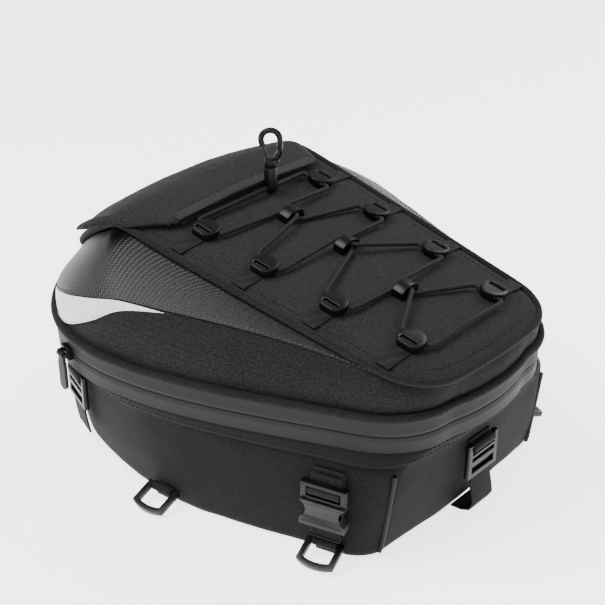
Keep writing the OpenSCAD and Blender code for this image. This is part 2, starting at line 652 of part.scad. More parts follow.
// Webbing from the piping to each anchor, turned up through its slot
module anchor_webbing() {
  color([0.16, 0.16, 0.15])
    for (side = [0, 1], p = anchor_at)
      mirror([0, side, 0])
        on_panel(p[0], p[1], 0.4) {
          reach = half_w(p[0]) - p[1] - 1.5;
          translate([-tab_w / 2, 2.6, 0]) cube([tab_w, reach - 2.6, 0.7]);
          translate([-tab_w / 2, 2.6, 0]) cube([tab_w, 2, anchor_rise + 0.7 * anchor_t]);
        }
}
clip_at = [[-9, 2], [43, 5], [106, -5]];
clip = [9, 19, 9.6];
low_h = 3;                       // heights of the two cords in a clip
high_h = low_h + 2 * cord_r + 0.4;
module cross_clips() {
  color([0.07, 0.07, 0.07])
    for (c = clip_at)
      on_panel(c[0], c[1], 0.4)
        difference() {
          intersection() {
            translate([0, 0, clip[2] - 13]) rotate([0, 90, 0]) cylinder(h = clip[0], r = 13, center = true);
            translate([-clip[0] / 2, -clip[1] / 2, 0]) cube(clip);
          }
          for (h = [low_h, high_h])
            translate([0, 0, h - 0.4]) rotate([0, 90, 0])
              cylinder(h = 2 * clip[0], r = cord_r + cord_gap, center = true);
        }
}
// The elastic's round trip, [x, y, height over the panel], chosen by hand
cord_route = [
  [-46, -58, 4.2], [-34, -58, 4.2], [-22, -58, 4.2], [-17, -3, 3], [-15, 2, 3],
  [-3, 2, 3], [0, 6, 3], [11, 55, 4.2], [13, 57, 4.2], [24, 57, 4.2], [35, 57, 4.2],
  [37, 53, 4.2], [37, 8, 3], [38, 5, 3], [48, 5, 3], [51, 2, 3], [72, -49, 4.2], [74, -52, 4.2],
  [85, -52, 4.2], [96, -52, 4.2], [98, -49, 4.2], [100, -7, 3], [101, -5, 3], [111, -5, 3],
  [113, -2, 3], [132, 40, 4.2], [134, 42, 4.2], [145, 42, 4.2], [156, 42, 4.2], [158, 39, 4.2],
  [158, 0, 5], [158, -39, 4.2], [156, -42, 4.2], [145, -42, 4.2], [134, -42, 4.2], [132, -40, 4.2],
  [114, -7, 6.8], [112, -5, 6.8], [101.5, -5, 6.8], [100, -2, 6.8], [97, 49, 4.2], [96, 52, 4.2],
  [85, 52, 4.2], [74, 52, 4.2], [72, 49, 4.2], [52, 8, 6.8], [49, 5, 6.8], [38.5, 5, 6.8],
  [37, 2, 6.8], [36, -54, 4.2], [35, -57, 4.2], [24, -57, 4.2], [13, -57, 4.2], [11, -54, 4.2],
  [0, -2, 6.8], [-3, 2, 6.8], [-15, 2, 6.8], [-17, 7, 6.8], [-20, 55, 4.2], [-22, 58, 4.2],
  [-34, 58, 4.2], [-46, 58, 4.2], [-47, 55, 4.4], [-43, 24, 6.2], [-43, 8, 6.2], [-46, -54, 4.4]
];
module elastic_cord() {
  path = [for (p = cord_route) [p[0], p[1], top_z(p[0], p[1]) + p[2]]];
  color([0.05, 0.05, 0.05]) loop_tube(path, cord_r, 8);
}

// ---- Hook ----
hook_pos = [-43, 16];
hook_base = top_z(hook_pos[0], hook_pos[1]) + 6.2;
hook_turn = 42;
collar_h = 6;
arm_x = bend_r + bar_r;
module at_hook(h) {
  translate([hook_pos[0], hook_pos[1], hook_base + h]) rotate([0, 0, hook_turn]) children();
}
module hook_barrel() {
  color([0.06, 0.06, 0.06])
    at_hook(0)
      difference() {
        union() {
          sphere(r = barrel_r);
          cylinder(h = barrel_h, r = barrel_r);
        }
        rotate([90, 0, -hook_turn]) cylinder(h = 3 * barrel_r, r = cord_r + cord_gap, center = true);
        translate([0, 0, barrel_h - 6]) cylinder(h = 7, r = 2 + loop_gap);
      }
}
module hook_body() {
  arc_z = collar_h + hook_h - arm_x;
  route = concat(
    [[arm_x - 2.6, 0, 3], [arm_x - 2.6, 0, 7], [arm_x - 1, 0, 9.5], [arm_x, 0, 13], [arm_x, 0, arc_z - 4]],
    [for (a = [0 : 22 : 198]) [arm_x * cos(a), 0, arc_z + arm_x * sin(a)]],
    [[-arm_x + 1.1, 0, arc_z - 5]]);
  color([0.06, 0.06, 0.06])
    at_hook(barrel_h + gap) {
      translate([0, 0, -5]) cylinder(h = 6, r = 2);
      cylinder(h = collar_h, r = barrel_r - 0.3);
      open_tube(route, bar_r, 10);
    }
}
gate_foot = [-2.6, 0, collar_h + 1.5];
module hook_gate() {
  color([0.12, 0.12, 0.12])
    at_hook(barrel_h + gap)
      rod(gate_foot, [-arm_x + 1.6, 0, collar_h + hook_h - arm_x - 6.2], 1.1);
}

base_panel();
base_board();
side_wall();
hem_binding();
corner_piping();
zip_tape_lower();
zip_coil_lower();
zip_slider();
zip_pull();
d_ring(strap_x, 1);  // d_ring_left_front
d_ring(ring_x, 1);  // d_ring_left_middle
d_ring(strap_x, -1);  // d_ring_right_front
d_ring(ring_x, -1);  // d_ring_right_middle
ring_webbing(strap_x, 1);  // ring_webbing_left_front
ring_webbing(ring_x, 1);  // ring_webbing_left_middle
ring_webbing(strap_x, -1);  // ring_webbing_right_front
ring_webbing(ring_x, -1);  // ring_webbing_right_middle
buckle_socket(1);  // buckle_socket_left
buckle_socket(-1);  // buckle_socket_right
buckle_plug(1);  // buckle_plug_left
buckle_plug(-1);  // buckle_plug_right
buckle_strap(1);  // buckle_strap_left
buckle_strap(-1);  // buckle_strap_right
plug_webbing(1);  // plug_webbing_left
plug_webbing(-1);  // plug_webbing_right
at_front(front_z) adjuster();  // adjuster_front
at_rear(adj_z, 1) adjuster();  // adjuster_rear_left
at_rear(adj_z, -1) adjuster();  // adjuster_rear_right
at_front(front_z) adjuster_webbing();  // adjuster_webbing_front
at_rear(adj_z, 1) adjuster_webbing();  // adjuster_webbing_rear_left
at_rear(adj_z, -1) adjuster_webbing();  // adjuster_webbing_rear_right
at_front(front_z) strap(front_route, front_z);  // strap_front
at_rear(adj_z, 1) strap(rear_route, adj_z);  // strap_rear_left
at_rear(adj_z, -1) strap(rear_route, adj_z);  // strap_rear_right
lid_wall();
top_panel();
top_piping();
lid_piping();
zip_tape_upper();
zip_coil_upper();
trim(1);  // trim_left
trim(-1);  // trim_right
reflector(1);  // reflector_left
reflector(-1);  // reflector_right
flap();
flap_binding();
flap_hook_tape();
panel_loop_tape();
anchor_webbing();
anchors(1);  // anchors_left
anchors(-1);  // anchors_right
cross_clips();
elastic_cord();
hook_barrel();
hook_body();
hook_gate();
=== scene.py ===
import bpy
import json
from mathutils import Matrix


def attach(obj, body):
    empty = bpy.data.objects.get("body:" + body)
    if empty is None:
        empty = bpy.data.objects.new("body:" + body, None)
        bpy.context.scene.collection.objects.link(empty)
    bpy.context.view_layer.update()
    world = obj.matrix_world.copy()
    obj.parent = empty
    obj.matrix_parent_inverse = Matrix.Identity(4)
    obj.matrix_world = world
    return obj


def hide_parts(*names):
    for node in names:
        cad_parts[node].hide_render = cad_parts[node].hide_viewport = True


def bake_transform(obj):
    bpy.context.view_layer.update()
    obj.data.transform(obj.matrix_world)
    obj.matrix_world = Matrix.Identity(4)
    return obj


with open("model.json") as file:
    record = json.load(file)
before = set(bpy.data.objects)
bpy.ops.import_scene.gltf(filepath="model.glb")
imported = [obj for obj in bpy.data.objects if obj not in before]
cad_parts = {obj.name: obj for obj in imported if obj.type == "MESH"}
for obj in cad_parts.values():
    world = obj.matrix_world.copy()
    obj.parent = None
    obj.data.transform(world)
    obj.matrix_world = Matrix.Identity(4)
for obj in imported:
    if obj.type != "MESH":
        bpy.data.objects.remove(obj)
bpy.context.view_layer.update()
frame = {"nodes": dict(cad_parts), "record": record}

import bpy
import bmesh
import json
import math
import random
from mathutils import Vector, noise

mm = 0.001
scene = bpy.context.scene
random.seed(4)
print("tail bag: frame loaded")

# ---- camera, floor and light ----
view = dict(azimuth=42.37, elevation=29.142, distance=1.0087, lens=77.36, aim=(0, 0, 0.1),
            shift=(0.0073, 0.01016))

def setCamera():
    a, e = math.radians(view["azimuth"]), math.radians(view["elevation"])
    back = Vector((math.sin(a) * math.cos(e), -math.cos(a) * math.cos(e), math.sin(e)))
    data = bpy.data.cameras.new("bagCamera")
    data.lens = view["lens"]
    data.sensor_width = 36
    data.shift_x, data.shift_y = view["shift"]
    cam = bpy.data.objects.new("bagCamera", data)
    scene.collection.objects.link(cam)
    cam.location = Vector(view["aim"]) + back * view["distance"]
    cam.rotation_euler = back.to_track_quat("Z", "Y").to_euler()
    scene.camera = cam

studio = dict(world=0.4, keyPower=44, keySize=1.1, fillPower=12, rimPower=22, floorGlow=2.6)

def addLight(name, place, power, size):
    data = bpy.data.lights.new(name, "AREA")
    data.energy, data.size = power, size
    lamp = bpy.data.objects.new(name, data)
    lamp.location = place
    lamp.rotation_euler = (Vector(place) - Vector((0, 0, 0.08))).to_track_quat("Z", "Y").to_euler()
    scene.collection.objects.link(lamp)

def setStudio():
    world = bpy.data.worlds.new("paleRoom")
    world.use_nodes = True
    world.node_tree.nodes["Background"].inputs["Color"].default_value = (1, 1, 1, 1)
    world.node_tree.nodes["Background"].inputs["Strength"].default_value = studio["world"]
    scene.world = world
    addLight("keyLight", (-0.5, -0.7, 1.5), studio["keyPower"], studio["keySize"])
    addLight("fillLight", (1.3, -0.9, 0.7), studio["fillPower"], 1.2)
    addLight("rimLight", (0.2, 1.3, 1.1), studio["rimPower"], 1.0)
    bpy.ops.mesh.primitive_plane_add(size=40, location=(0, 0, 0))
    floor = bpy.context.object
    floor.name = "studioFloor"
    paint = plainMat("floorPaint", (0.9, 0.9, 0.9), 0.7)
    bsdf = paint.node_tree.nodes["Principled BSDF"]
    bsdf.inputs["Emission Color"].default_value = (1, 1, 1, 1)
    bsdf.inputs["Emission Strength"].default_value = studio["floorGlow"]
    floor.data.materials.append(paint)

# ---- materials ----
def newMat(name):
    mat = bpy.data.materials.new(name)
    mat.use_nodes = True
    return mat, mat.node_tree.nodes, mat.node_tree.links, mat.node_tree.nodes["Principled BSDF"]

def plainMat(name, colour, rough):
    mat, nodes, links, bsdf = newMat(name)
    speck = nodes.new("ShaderNodeTexNoise")
    speck.inputs["Scale"].default_value = 6
    ramp = nodes.new("ShaderNodeMapRange")
    ramp.inputs["To Min"].default_value = rough - 0.03
    ramp.inputs["To Max"].default_value = rough + 0.03
    links.new(speck.outputs["Fac"], ramp.inputs["Value"])
    links.new(ramp.outputs["Result"], bsdf.inputs["Roughness"])
    bsdf.inputs["Base Color"].default_value = (*colour, 1)
    return mat

def place(nodes, links, useUv, scale, turn=0):
    coord = nodes.new("ShaderNodeTexCoord")
    shift = nodes.new("ShaderNodeMapping")
    shift.inputs["Scale"].default_value = scale if isinstance(scale, tuple) else (scale,) * 3
    shift.inputs["Rotation"].default_value = (0, 0, math.radians(turn))
    links.new(coord.outputs["UV" if useUv else "Object"], shift.inputs["Vector"])
    return shift.outputs["Vector"]

def bands(nodes, links, vector, direction, profile="SIN"):
    wave = nodes.new("ShaderNodeTexWave")
    wave.bands_direction = direction
    wave.wave_profile = profile
    wave.inputs["Scale"].default_value = 1
    links.new(vector, wave.inputs["Vector"])
    return wave.outputs["Fac"]

def math2(nodes, links, op, a, b, clamp=False):
    node = nodes.new("ShaderNodeMath")
    node.operation = op
    node.use_clamp = clamp
    for k, v in enumerate((a, b)):
        if isinstance(v, (int, float)):
            node.inputs[k].default_value = v
        else:
            links.new(v, node.inputs[k])
    return node.outputs[0]

def tint(nodes, links, fac, dark, light):
    ramp = nodes.new("ShaderNodeValToRGB")
    ramp.color_ramp.elements[0].color = (*dark, 1)
    ramp.color_ramp.elements[1].color = (*light, 1)
    links.new(fac, ramp.inputs["Fac"])
    return ramp.outputs["Color"]

def bumpOf(nodes, links, height, strength, distance):
    bump = nodes.new("ShaderNodeBump")
    bump.inputs["Strength"].default_value = strength
    bump.inputs["Distance"].default_value = distance
    links.new(height, bump.inputs["Height"])
    return bump.outputs["Normal"]

# a woven cloth: two crossing thread directions, slubs and a slight fading
def wovenMat(name, colour, pitch=1.1, rough=0.8, bump=0.5, sheen=0.03, useUv=True, lift=2.6):
    mat, nodes, links, bsdf = newMat(name)
    vec = place(nodes, links, useUv, 0.31416 / (pitch * mm))
    warp = bands(nodes, links, vec, "X")
    weft = bands(nodes, links, vec, "Y")
    weave = math2(nodes, links, "MULTIPLY", warp, weft)
    grain = nodes.new("ShaderNodeTexNoise")
    grain.inputs["Scale"].default_value = 900
    grain.inputs["Detail"].default_value = 3
    links.new(place(nodes, links, False, 1.0), grain.inputs["Vector"])
    patch = nodes.new("ShaderNodeTexNoise")
    patch.inputs["Scale"].default_value = 14
    links.new(place(nodes, links, False, 1.0), patch.inputs["Vector"])
    strong = math2(nodes, links, "SUBTRACT", math2(nodes, links, "MULTIPLY", grain.outputs["Fac"], 1.8), 0.58)
    mixed = math2(nodes, links, "ADD", math2(nodes, links, "MULTIPLY", weave, 0.2), strong)
    mixed = math2(nodes, links, "ADD", mixed, math2(nodes, links, "MULTIPLY", patch.outputs["Fac"], 0.25), True)
    dark = tuple(c * 0.25 for c in colour)
    light = tuple(min(1, c * lift) for c in colour)
    links.new(tint(nodes, links, mixed, dark, light), bsdf.inputs["Base Color"])
    links.new(bumpOf(nodes, links, mixed, bump, 0.5 * mm), bsdf.inputs["Normal"])
    bsdf.inputs["Roughness"].default_value = rough
    bsdf.inputs["Sheen Weight"].default_value = sheen
    bsdf.inputs["Sheen Roughness"].default_value = 0.5
    bsdf.inputs["Specular IOR Level"].default_value = 0.07
    return mat

# moulded plastic or coated tape: fine grain, slightly varied gloss
def mouldedMat(name, colour, rough=0.42, grainSize=700, bump=0.08, spec=0.5):
    mat, nodes, links, bsdf = newMat(name)
    grain = nodes.new("ShaderNodeTexNoise")
    grain.inputs["Scale"].default_value = grainSize
    grain.inputs["Detail"].default_value = 4
    links.new(place(nodes, links, False, 1.0), grain.inputs["Vector"])
    wear = nodes.new("ShaderNodeTexNoise")
    wear.inputs["Scale"].default_value = 45
    links.new(place(nodes, links, False, 1.0), wear.inputs["Vector"])
    links.new(tint(nodes, links, wear.outputs["Fac"], tuple(c * 0.8 for c in colour),
                   tuple(min(1, c * 1.25) for c in colour)), bsdf.inputs["Base Color"])
    gloss = nodes.new("ShaderNodeMapRange")
    gloss.inputs["To Min"].default_value = rough - 0.08
    gloss.inputs["To Max"].default_value = rough + 0.1
    links.new(wear.outputs["Fac"], gloss.inputs["Value"])
    links.new(gloss.outputs["Result"], bsdf.inputs["Roughness"])
    links.new(bumpOf(nodes, links, grain.outputs["Fac"], bump, 0.2 * mm), bsdf.inputs["Normal"])
    bsdf.inputs["Specular IOR Level"].default_value = spec
    return mat

# ribbed tape: ribs across its length
def ribbedMat(name, colour, pitch, rough=0.8, bump=0.6, direction="X", lift=1.8):
    mat, nodes, links, bsdf = newMat(name)
    ribs = bands(nodes, links, place(nodes, links, True, 0.31416 / (pitch * mm)), direction)
    grain = nodes.new("ShaderNodeTexNoise")
    grain.inputs["Scale"].default_value = 600
    links.new(place(nodes, links, False, 1.0), grain.inputs["Vector"])
    mixed = math2(nodes, links, "ADD", math2(nodes, links, "MULTIPLY", ribs, 0.65),
                  math2(nodes, links, "MULTIPLY", grain.outputs["Fac"], 0.35))
    links.new(tint(nodes, links, mixed, tuple(c * 0.5 for c in colour), tuple(min(1, c * lift) for c in colour)),
              bsdf.inputs["Base Color"])
    links.new(bumpOf(nodes, links, mixed, bump, 0.4 * mm), bsdf.inputs["Normal"])
    bsdf.inputs["Roughness"].default_value = rough
    bsdf.inputs["Specular IOR Level"].default_value = 0.15
    return mat

# embossed twill on coated trim: columns of short bars, slanted one way then the other
def twillMat(name, colour, column=3.2, bar=1.5):
    mat, nodes, links, bsdf = newMat(name)
    columns = bands(nodes, links, place(nodes, links, True, 0.31416 / (column * mm), 30), "X")
    rise = bands(nodes, links, place(nodes, links, True, 0.31416 / (bar * mm), 62), "X")
    fall = bands(nodes, links, place(nodes, links, True, 0.31416 / (bar * mm), -2), "X")
    side = math2(nodes, links, "GREATER_THAN", columns, 0.5)
    first = math2(nodes, links, "MULTIPLY", rise, side)
    other = math2(nodes, links, "MULTIPLY", fall, math2(nodes, links, "SUBTRACT", 1.0, side))
    bars = math2(nodes, links, "ADD", first, other)
    shade = math2(nodes, links, "ADD", math2(nodes, links, "MULTIPLY", bars, 0.6),
                  math2(nodes, links, "MULTIPLY", side, 0.35))
    links.new(tint(nodes, links, shade, tuple(c * 0.3 for c in colour), tuple(c * 3.2 for c in colour)),
              bsdf.inputs["Base Color"])
    links.new(bumpOf(nodes, links, shade, 0.6, 0.5 * mm), bsdf.inputs["Normal"])
    bsdf.inputs["Roughness"].default_value = 0.42
    bsdf.inputs["Specular IOR Level"].default_value = 0.3
    return mat

finish = {}

def makeFinishes():
    finish["body"] = wovenMat("bodyPolyester", (0.0046, 0.0045, 0.0052), pitch=1.5, bump=0.35)
    finish["lid"] = wovenMat("lidPolyester", (0.0095, 0.0086, 0.0092), pitch=1.5, bump=0.35)
    finish["panel"] = wovenMat("panelPolyester", (0.0115, 0.0102, 0.0118), pitch=1.6, bump=0.5)
    finish["flap"] = wovenMat("flapPolyester", (0.0125, 0.011, 0.0125), pitch=1.2, bump=0.4)
    finish["soft"] = wovenMat("copyPolyester", (0.009, 0.009, 0.0095), useUv=False)
    finish["piping"] = wovenMat("pipingCloth", (0.007, 0.007, 0.008), pitch=0.8, bump=0.3)
    finish["cornerPiping"] = mouldedMat("cornerPipingVinyl", (0.003, 0.003, 0.0035), 0.45, spec=0.12)
    finish["zipBand"] = mouldedMat("zipBandCoating", (0.011, 0.011, 0.012), 0.55, 500, 0.06, 0.14)
    finish["zipTeeth"] = ribbedMat("zipTeeth", (0.02, 0.02, 0.021), 1.4)
    finish["hem"] = ribbedMat("hemGrosgrain", (0.006, 0.006, 0.0065), 1.3, bump=0.4)
    finish["webbing"] = webbingMat("strapWebbing", (0.0065, 0.0068, 0.0062))
    finish["tab"] = webbingMat("tabWebbing", (0.0085, 0.0095, 0.008))
    finish["hardware"] = mouldedMat("mouldedHardware", (0.0025, 0.0025, 0.003), 0.33, spec=0.2)
    finish["buckle"] = mouldedMat("buckleFront", (0.015, 0.015, 0.016), 0.45, 300, 0.05, 0.2)
    finish["cord"] = braidMat("braidedCord", (0.0035, 0.0042, 0.0046))
    finish["trim"] = twillMat("embossedTrim", (0.0055, 0.0062, 0.0072))
    finish["reflector"] = mouldedMat("reflectiveFilm", (0.62, 0.62, 0.64), 0.5, 900, 0.1)
    finish["rubber"] = mouldedMat("pullRubber", (0.006, 0.006, 0.0065), 0.5, spec=0.15)
    finish["hookLoop"] = hookLoopMat("hookAndLoop", (0.006, 0.0065, 0.007))
    finish["darkThread"] = ribbedMat("darkThread", (0.022, 0.022, 0.024), 0.5)
    finish["hemThread"] = ribbedMat("hemThread", (0.012, 0.012, 0.0125), 0.5)
    finish["trimThread"] = ribbedMat("trimThread", (0.05, 0.05, 0.054), 0.5)
    finish["paleThread"] = ribbedMat("paleThread", (0.6, 0.6, 0.62), 0.5)
    finish["board"] = mouldedMat("boardPlastic", (0.02, 0.02, 0.02), 0.6)

# webbing: herringbone-like ribs from crossing bands on object coordinates
def webbingMat(name, colour):
    mat, nodes, links, bsdf = newMat(name)
    vec = place(nodes, links, False, 0.31416 / (1.5 * mm))
    a = bands(nodes, links, vec, "X")
    b = bands(nodes, links, vec, "Z")
    c = bands(nodes, links, vec, "Y")
    mixed = math2(nodes, links, "MULTIPLY", math2(nodes, links, "MAXIMUM", a, c), b)
    grain = nodes.new("ShaderNodeTexNoise")
    grain.inputs["Scale"].default_value = 900
    links.new(place(nodes, links, False, 1.0), grain.inputs["Vector"])
    mixed = math2(nodes, links, "ADD", math2(nodes, links, "MULTIPLY", mixed, 0.6),
                  math2(nodes, links, "MULTIPLY", grain.outputs["Fac"], 0.4))
    links.new(tint(nodes, links, mixed, tuple(v * 0.4 for v in colour), tuple(v * 2.2 for v in colour)),
              bsdf.inputs["Base Color"])
    links.new(bumpOf(nodes, links, mixed, 0.7, 0.6 * mm), bsdf.inputs["Normal"])
    bsdf.inputs["Specular IOR Level"].default_value = 0.15
    bsdf.inputs["Roughness"].default_value = 0.75
    return mat

# braid: slanted bands both ways round the cord
def braidMat(name, colour):
    mat, nodes, links, bsdf = newMat(name)
    one = bands(nodes, links, place(nodes, links, True, 0.31416 / (1.6 * mm), 35), "X")
    two = bands(nodes, links, place(nodes, links, True, 0.31416 / (1.6 * mm), -35), "X")
    mixed = math2(nodes, links, "MAXIMUM", one, two)
    links.new(tint(nodes, links, mixed, tuple(v * 0.4 for v in colour), tuple(v * 1.8 for v in colour)),
              bsdf.inputs["Base Color"])
    links.new(bumpOf(nodes, links, mixed, 0.6, 0.4 * mm), bsdf.inputs["Normal"])
    bsdf.inputs["Roughness"].default_value = 0.7
    bsdf.inputs["Specular IOR Level"].default_value = 0.25
    return mat

def hookLoopMat(name, colour):
    mat, nodes, links, bsdf = newMat(name)
    fuzz = nodes.new("ShaderNodeTexVoronoi")
    fuzz.inputs["Scale"].default_value = 700
    links.new(place(nodes, links, False, 1.0), fuzz.inputs["Vector"])
    links.new(tint(nodes, links, fuzz.outputs["Distance"], tuple(v * 3 for v in colour), tuple(v * 0.4 for v in colour)),
              bsdf.inputs["Base Color"])
    links.new(bumpOf(nodes, links, fuzz.outputs["Distance"], 1.0, 1.0 * mm), bsdf.inputs["Normal"])
    bsdf.inputs["Roughness"].default_value = 0.95
    return mat

# ---- plan of the bag, the same sizes as its body pieces (mm) ----
bag = dict(halfLen=186.0, width=324.0, baseLen=349.0, baseW=288.0, lowerH=86.0, bandZ=110.0, splitZ=98.0,
           shoulderZ=73.0, hemH=9.0, wall=4.0, seamH=181.0, slope=0.168, crown=5.0, domeX=-85.0, domeFoot=121.0,
           domeN=1.5, lidIn=2.5, panelT=5.0)
steps = dict(wide=6, side=6, corner=4, end=3)
halfN = sum(steps.values())
bandLoop = [-bag["halfLen"], -53.2, bag["halfLen"], 162, 0.132 * 324, 60, 24, 6, 2]
baseLoop = [-187, 0, 162, 144, 83, 27, 11, 3, 2.3]
shoulderLoop = [0.5 - 186, -25.08, 174, 152.5, 74, 32, 17, 4, 2.15]

def lerp(a, b, t):
    return a + (b - a) * t

def mixLoop(a, b, t):
    return [lerp(p, q, t) for p, q in zip(a, b)]

def inset(l, d):
    return [l[0] + d, l[1], l[2] - d, l[3] - d, l[4], l[5] - d, l[6], l[7], l[8]]

def halfLoop(l):
    cx, a0 = l[2] - l[7] - l[5], math.radians(90 - l[6])
    p = (l[1], l[3])
    q = (cx + l[5] * math.cos(a0), l[4] + l[5] * math.sin(a0))
    s = q[0] - p[0]
    out = []
    for i in range(steps["wide"] + 1):
        a = math.pi / 2 * i / steps["wide"]
        out.append((l[1] + (l[0] - l[1]) * max(0, math.cos(a)) ** (2 / l[8]), l[3] * math.sin(a) ** (2 / l[8])))
    for i in range(1, steps["side"]):
        t = i / steps["side"]
        h = (2 * t ** 3 - 3 * t * t + 1, t ** 3 - 2 * t * t + t, 3 * t * t - 2 * t ** 3, t ** 3 - t * t)
        out.append(tuple(p[k] * h[0] + (s, 0)[k] * h[1] + q[k] * h[2]
                         + (s, -s * math.tan(math.radians(l[6])))[k] * h[3] for k in (0, 1)))
    for i in range(steps["corner"] + 1):
        a = a0 * (1 - i / steps["corner"])
        out.append((cx + l[5] * math.cos(a), l[4] + l[5] * math.sin(a)))
    for i in range(1, steps["end"] + 1):
        t = i / steps["end"]
        out.append((l[2] - l[7] * (1 - t) ** 2, l[4] * (1 - t)))
    return out

def wallLoop(z):
    if z < 5:
        return inset(baseLoop, 3 * (1 - z / 5) ** 2)
    if z > bag["shoulderZ"]:
        return mixLoop(shoulderLoop, inset(bandLoop, 2.4), (z - bag["shoulderZ"]) / (bag["lowerH"] - bag["shoulderZ"]))
    return mixLoop(baseLoop, shoulderLoop, z / bag["shoulderZ"])

def mirrored(half):
    return list(half) + [Vector((p[0], -p[1], p[2])) for p in reversed(half[1:-1])]

def ringAt(l, z):
    return mirrored([Vector((x, y, z)) for x, y in halfLoop(l)])

# smooth curve through points, n steps to each
def refine(points, n, closed=True):
    m = len(points)
    out = []
    for i in range(m if closed else m - 1):
        p = [points[(i + k) % m] if closed else points[min(max(i + k, 0), m - 1)] for k in (-1, 0, 1, 2)]
        for j in range(n):
            t = j / n
            out.append(0.5 * ((2 * p[1]) + (p[2] - p[0]) * t + (2 * p[0] - 5 * p[1] + 4 * p[2] - p[3]) * t * t
                              + (3 * p[1] - p[0] - 3 * p[2] + p[3]) * t ** 3))
    if not closed:
        out.append(points[-1].copy())
    return out

def bandX(y):
    pts = halfLoop(bandLoop)[:steps["wide"] + 1]
    y = abs(y)
    for a, b in zip(pts, pts[1:]):
        if a[1] <= y <= b[1]:
            return lerp(a[0], b[0], (y - a[1]) / (b[1] - a[1]))
    return pts[-1][0]

panelW = 0.6 * 324
roll = [(0, 0.32 * panelW), (26, 0.43 * panelW), (47, 0.485 * panelW), (70, 0.51 * panelW)]
panelEnd, panelR, panelEndW = 181.0, 40.0, 0.41 * panelW
panelCx = panelEnd - panelR

def seamZ(x):
    return bag["seamH"] - (x - bag["domeX"]) * bag["slope"]

def dome(a, y):
    ca, sa = max(0, math.cos(math.radians(a))), math.sin(math.radians(a))
    return Vector((bag["domeX"] - (bag["domeX"] - 3 - bandX(y)) * ca ** (2 / bag["domeN"]), y,
                   bag["domeFoot"] + (bag["seamH"] - bag["domeFoot"]) * sa ** (2 / bag["domeN"])))

def seamStations():
    pts = [dome(0, roll[0][1] * i / 3) for i in range(3)] + [dome(a, y) for a, y in roll]
    for i in range(1, steps["side"]):
        t = (i - 1) / (steps["side"] - 2 + 0.6)
        x = lerp(bag["domeX"], panelCx, t)
        pts.append(Vector((x, lerp(0.505 * panelW, panelEndW, t ** 1.25), seamZ(x))))
    for i in range(steps["corner"] + 1):
        a = math.radians(84 * (1 - i / steps["corner"]))
        x = panelCx + panelR * math.cos(a)
        pts.append(Vector((x, panelEndW - panelR + panelR * math.sin(a), seamZ(x))))
    for i in range(1, steps["end"] + 1):
        t = i / steps["end"]
        x = panelEnd + 1.5 * (1 - (1 - t) ** 2)
        pts.append(Vector((x, (panelEndW - panelR) * (1 - t), seamZ(x))))
    return pts

seamHalf = seamStations()
seamAngle = [0, 0, 0] + [a for a, y in roll] + [90] * (halfN - 6)

def sunkHalf(d):
    out = []
    for p, a in zip(seamHalf, seamAngle):
        a = math.radians(a)
        out.append(Vector((p.x + d * math.cos(a), p.y, p.z - d * math.sin(a))))
    return out

# outward swelling of the lid's padded sides, most near the wide end (mm)
lidPuff = dict(most=(4, 4, 6, 8, 8, 6, 4, 3.2, 2.6, 2.2, 2, 2, 2, 2, 2, 2, 2, 2, 2, 2))

def planNormal(i):
    half = halfLoop(bandLoop)
    a = half[i - 1] if i else (half[1][0], -half[1][1])
    b = half[i + 1] if i < halfN else (half[i - 1][0], -half[i - 1][1])
    t = Vector((b[0] - a[0], b[1] - a[1], 0)).normalized()
    return Vector((-t.y, t.x, 0))

# a point of the lid's side: station i, share v of the way up, d inwards
def sidePt(i, v, d):
    b = halfLoop(inset(bandLoop, bag["lidIn"] + d))[i]
    b = Vector((b[0], b[1], bag["bandZ"]))
    s = sunkHalf(bag["panelT"] + 0.3)[i]
    t = s - d * Vector((s.x + 30, s.y * 1.2, 0.4)).normalized()
    q = 0.12 + 0.5 * max(0, math.cos(math.radians(seamAngle[i]))) ** 8
    c = Vector((lerp(b.x, t.x, q), lerp(b.y, t.y, q), lerp(b.z, t.z, 0.62)))
    swollen = planNormal(i) * lidPuff["most"][i] * math.sin(math.pi * min(1, v)) ** 1.3
    return b * (1 - v) ** 2 + c * 2 * v * (1 - v) + t * v * v + swollen

def halfWidth(x):
    pts = [(p.x, p.y) for p in seamHalf[3:halfN - 2]]
    if x <= pts[0][0]:
        return pts[0][1]
    for a, b in zip(pts, pts[1:]):
        if a[0] <= x <= b[0]:
            return lerp(a[1], b[1], (x - a[0]) / (b[0] - a[0]))
    return pts[-1][1]

# share of the crown left near the narrow end's seam
def fade(x):
    return max(0, 1 - (max(0, x - panelEnd + 30) / 30) ** 2)

def topZ(x, y):
    crown = bag["crown"] * fade(x) * max(0, 1 - (y / halfWidth(max(x, bag["domeX"]))) ** 2)
    if x >= bag["domeX"]:
        return seamZ(x) + crown
    w = bag["domeX"] - 3 - bandX(y)
    q = (bag["domeX"] - x) / w
    return bag["domeFoot"] + (bag["seamH"] - bag["domeFoot"] + crown) * max(0, 1 - q ** bag["domeN"]) ** (1 / bag["domeN"])

# ---- making cloth surfaces ----
def newObject(name, verts, faces, uvs=None):
    mesh = bpy.data.meshes.new(name)
    mesh.from_pydata([v * mm for v in verts], [], faces)
    if uvs:
        layer = mesh.uv_layers.new(name="cloth")
        for loop in mesh.loops:
            layer.data[loop.index].uv = uvs[loop.index] if isinstance(uvs, list) else (0, 0)
    mesh.update()
    obj = bpy.data.objects.new(name, mesh)
    scene.collection.objects.link(obj)
    return obj

def outwards(obj):
    bm = bmesh.new()
    bm.from_mesh(obj.data)
    bmesh.ops.recalc_face_normals(bm, faces=bm.faces)
    bm.to_mesh(obj.data)
    bm.free()

def smooth(obj, angle=45):
    for poly in obj.data.polygons:
        poly.use_smooth = True
    bpy.ops.object.select_all(action="DESELECT")
    obj.select_set(True)
    bpy.context.view_layer.objects.active = obj
    bpy.ops.object.shade_smooth_by_angle(angle=math.radians(angle))

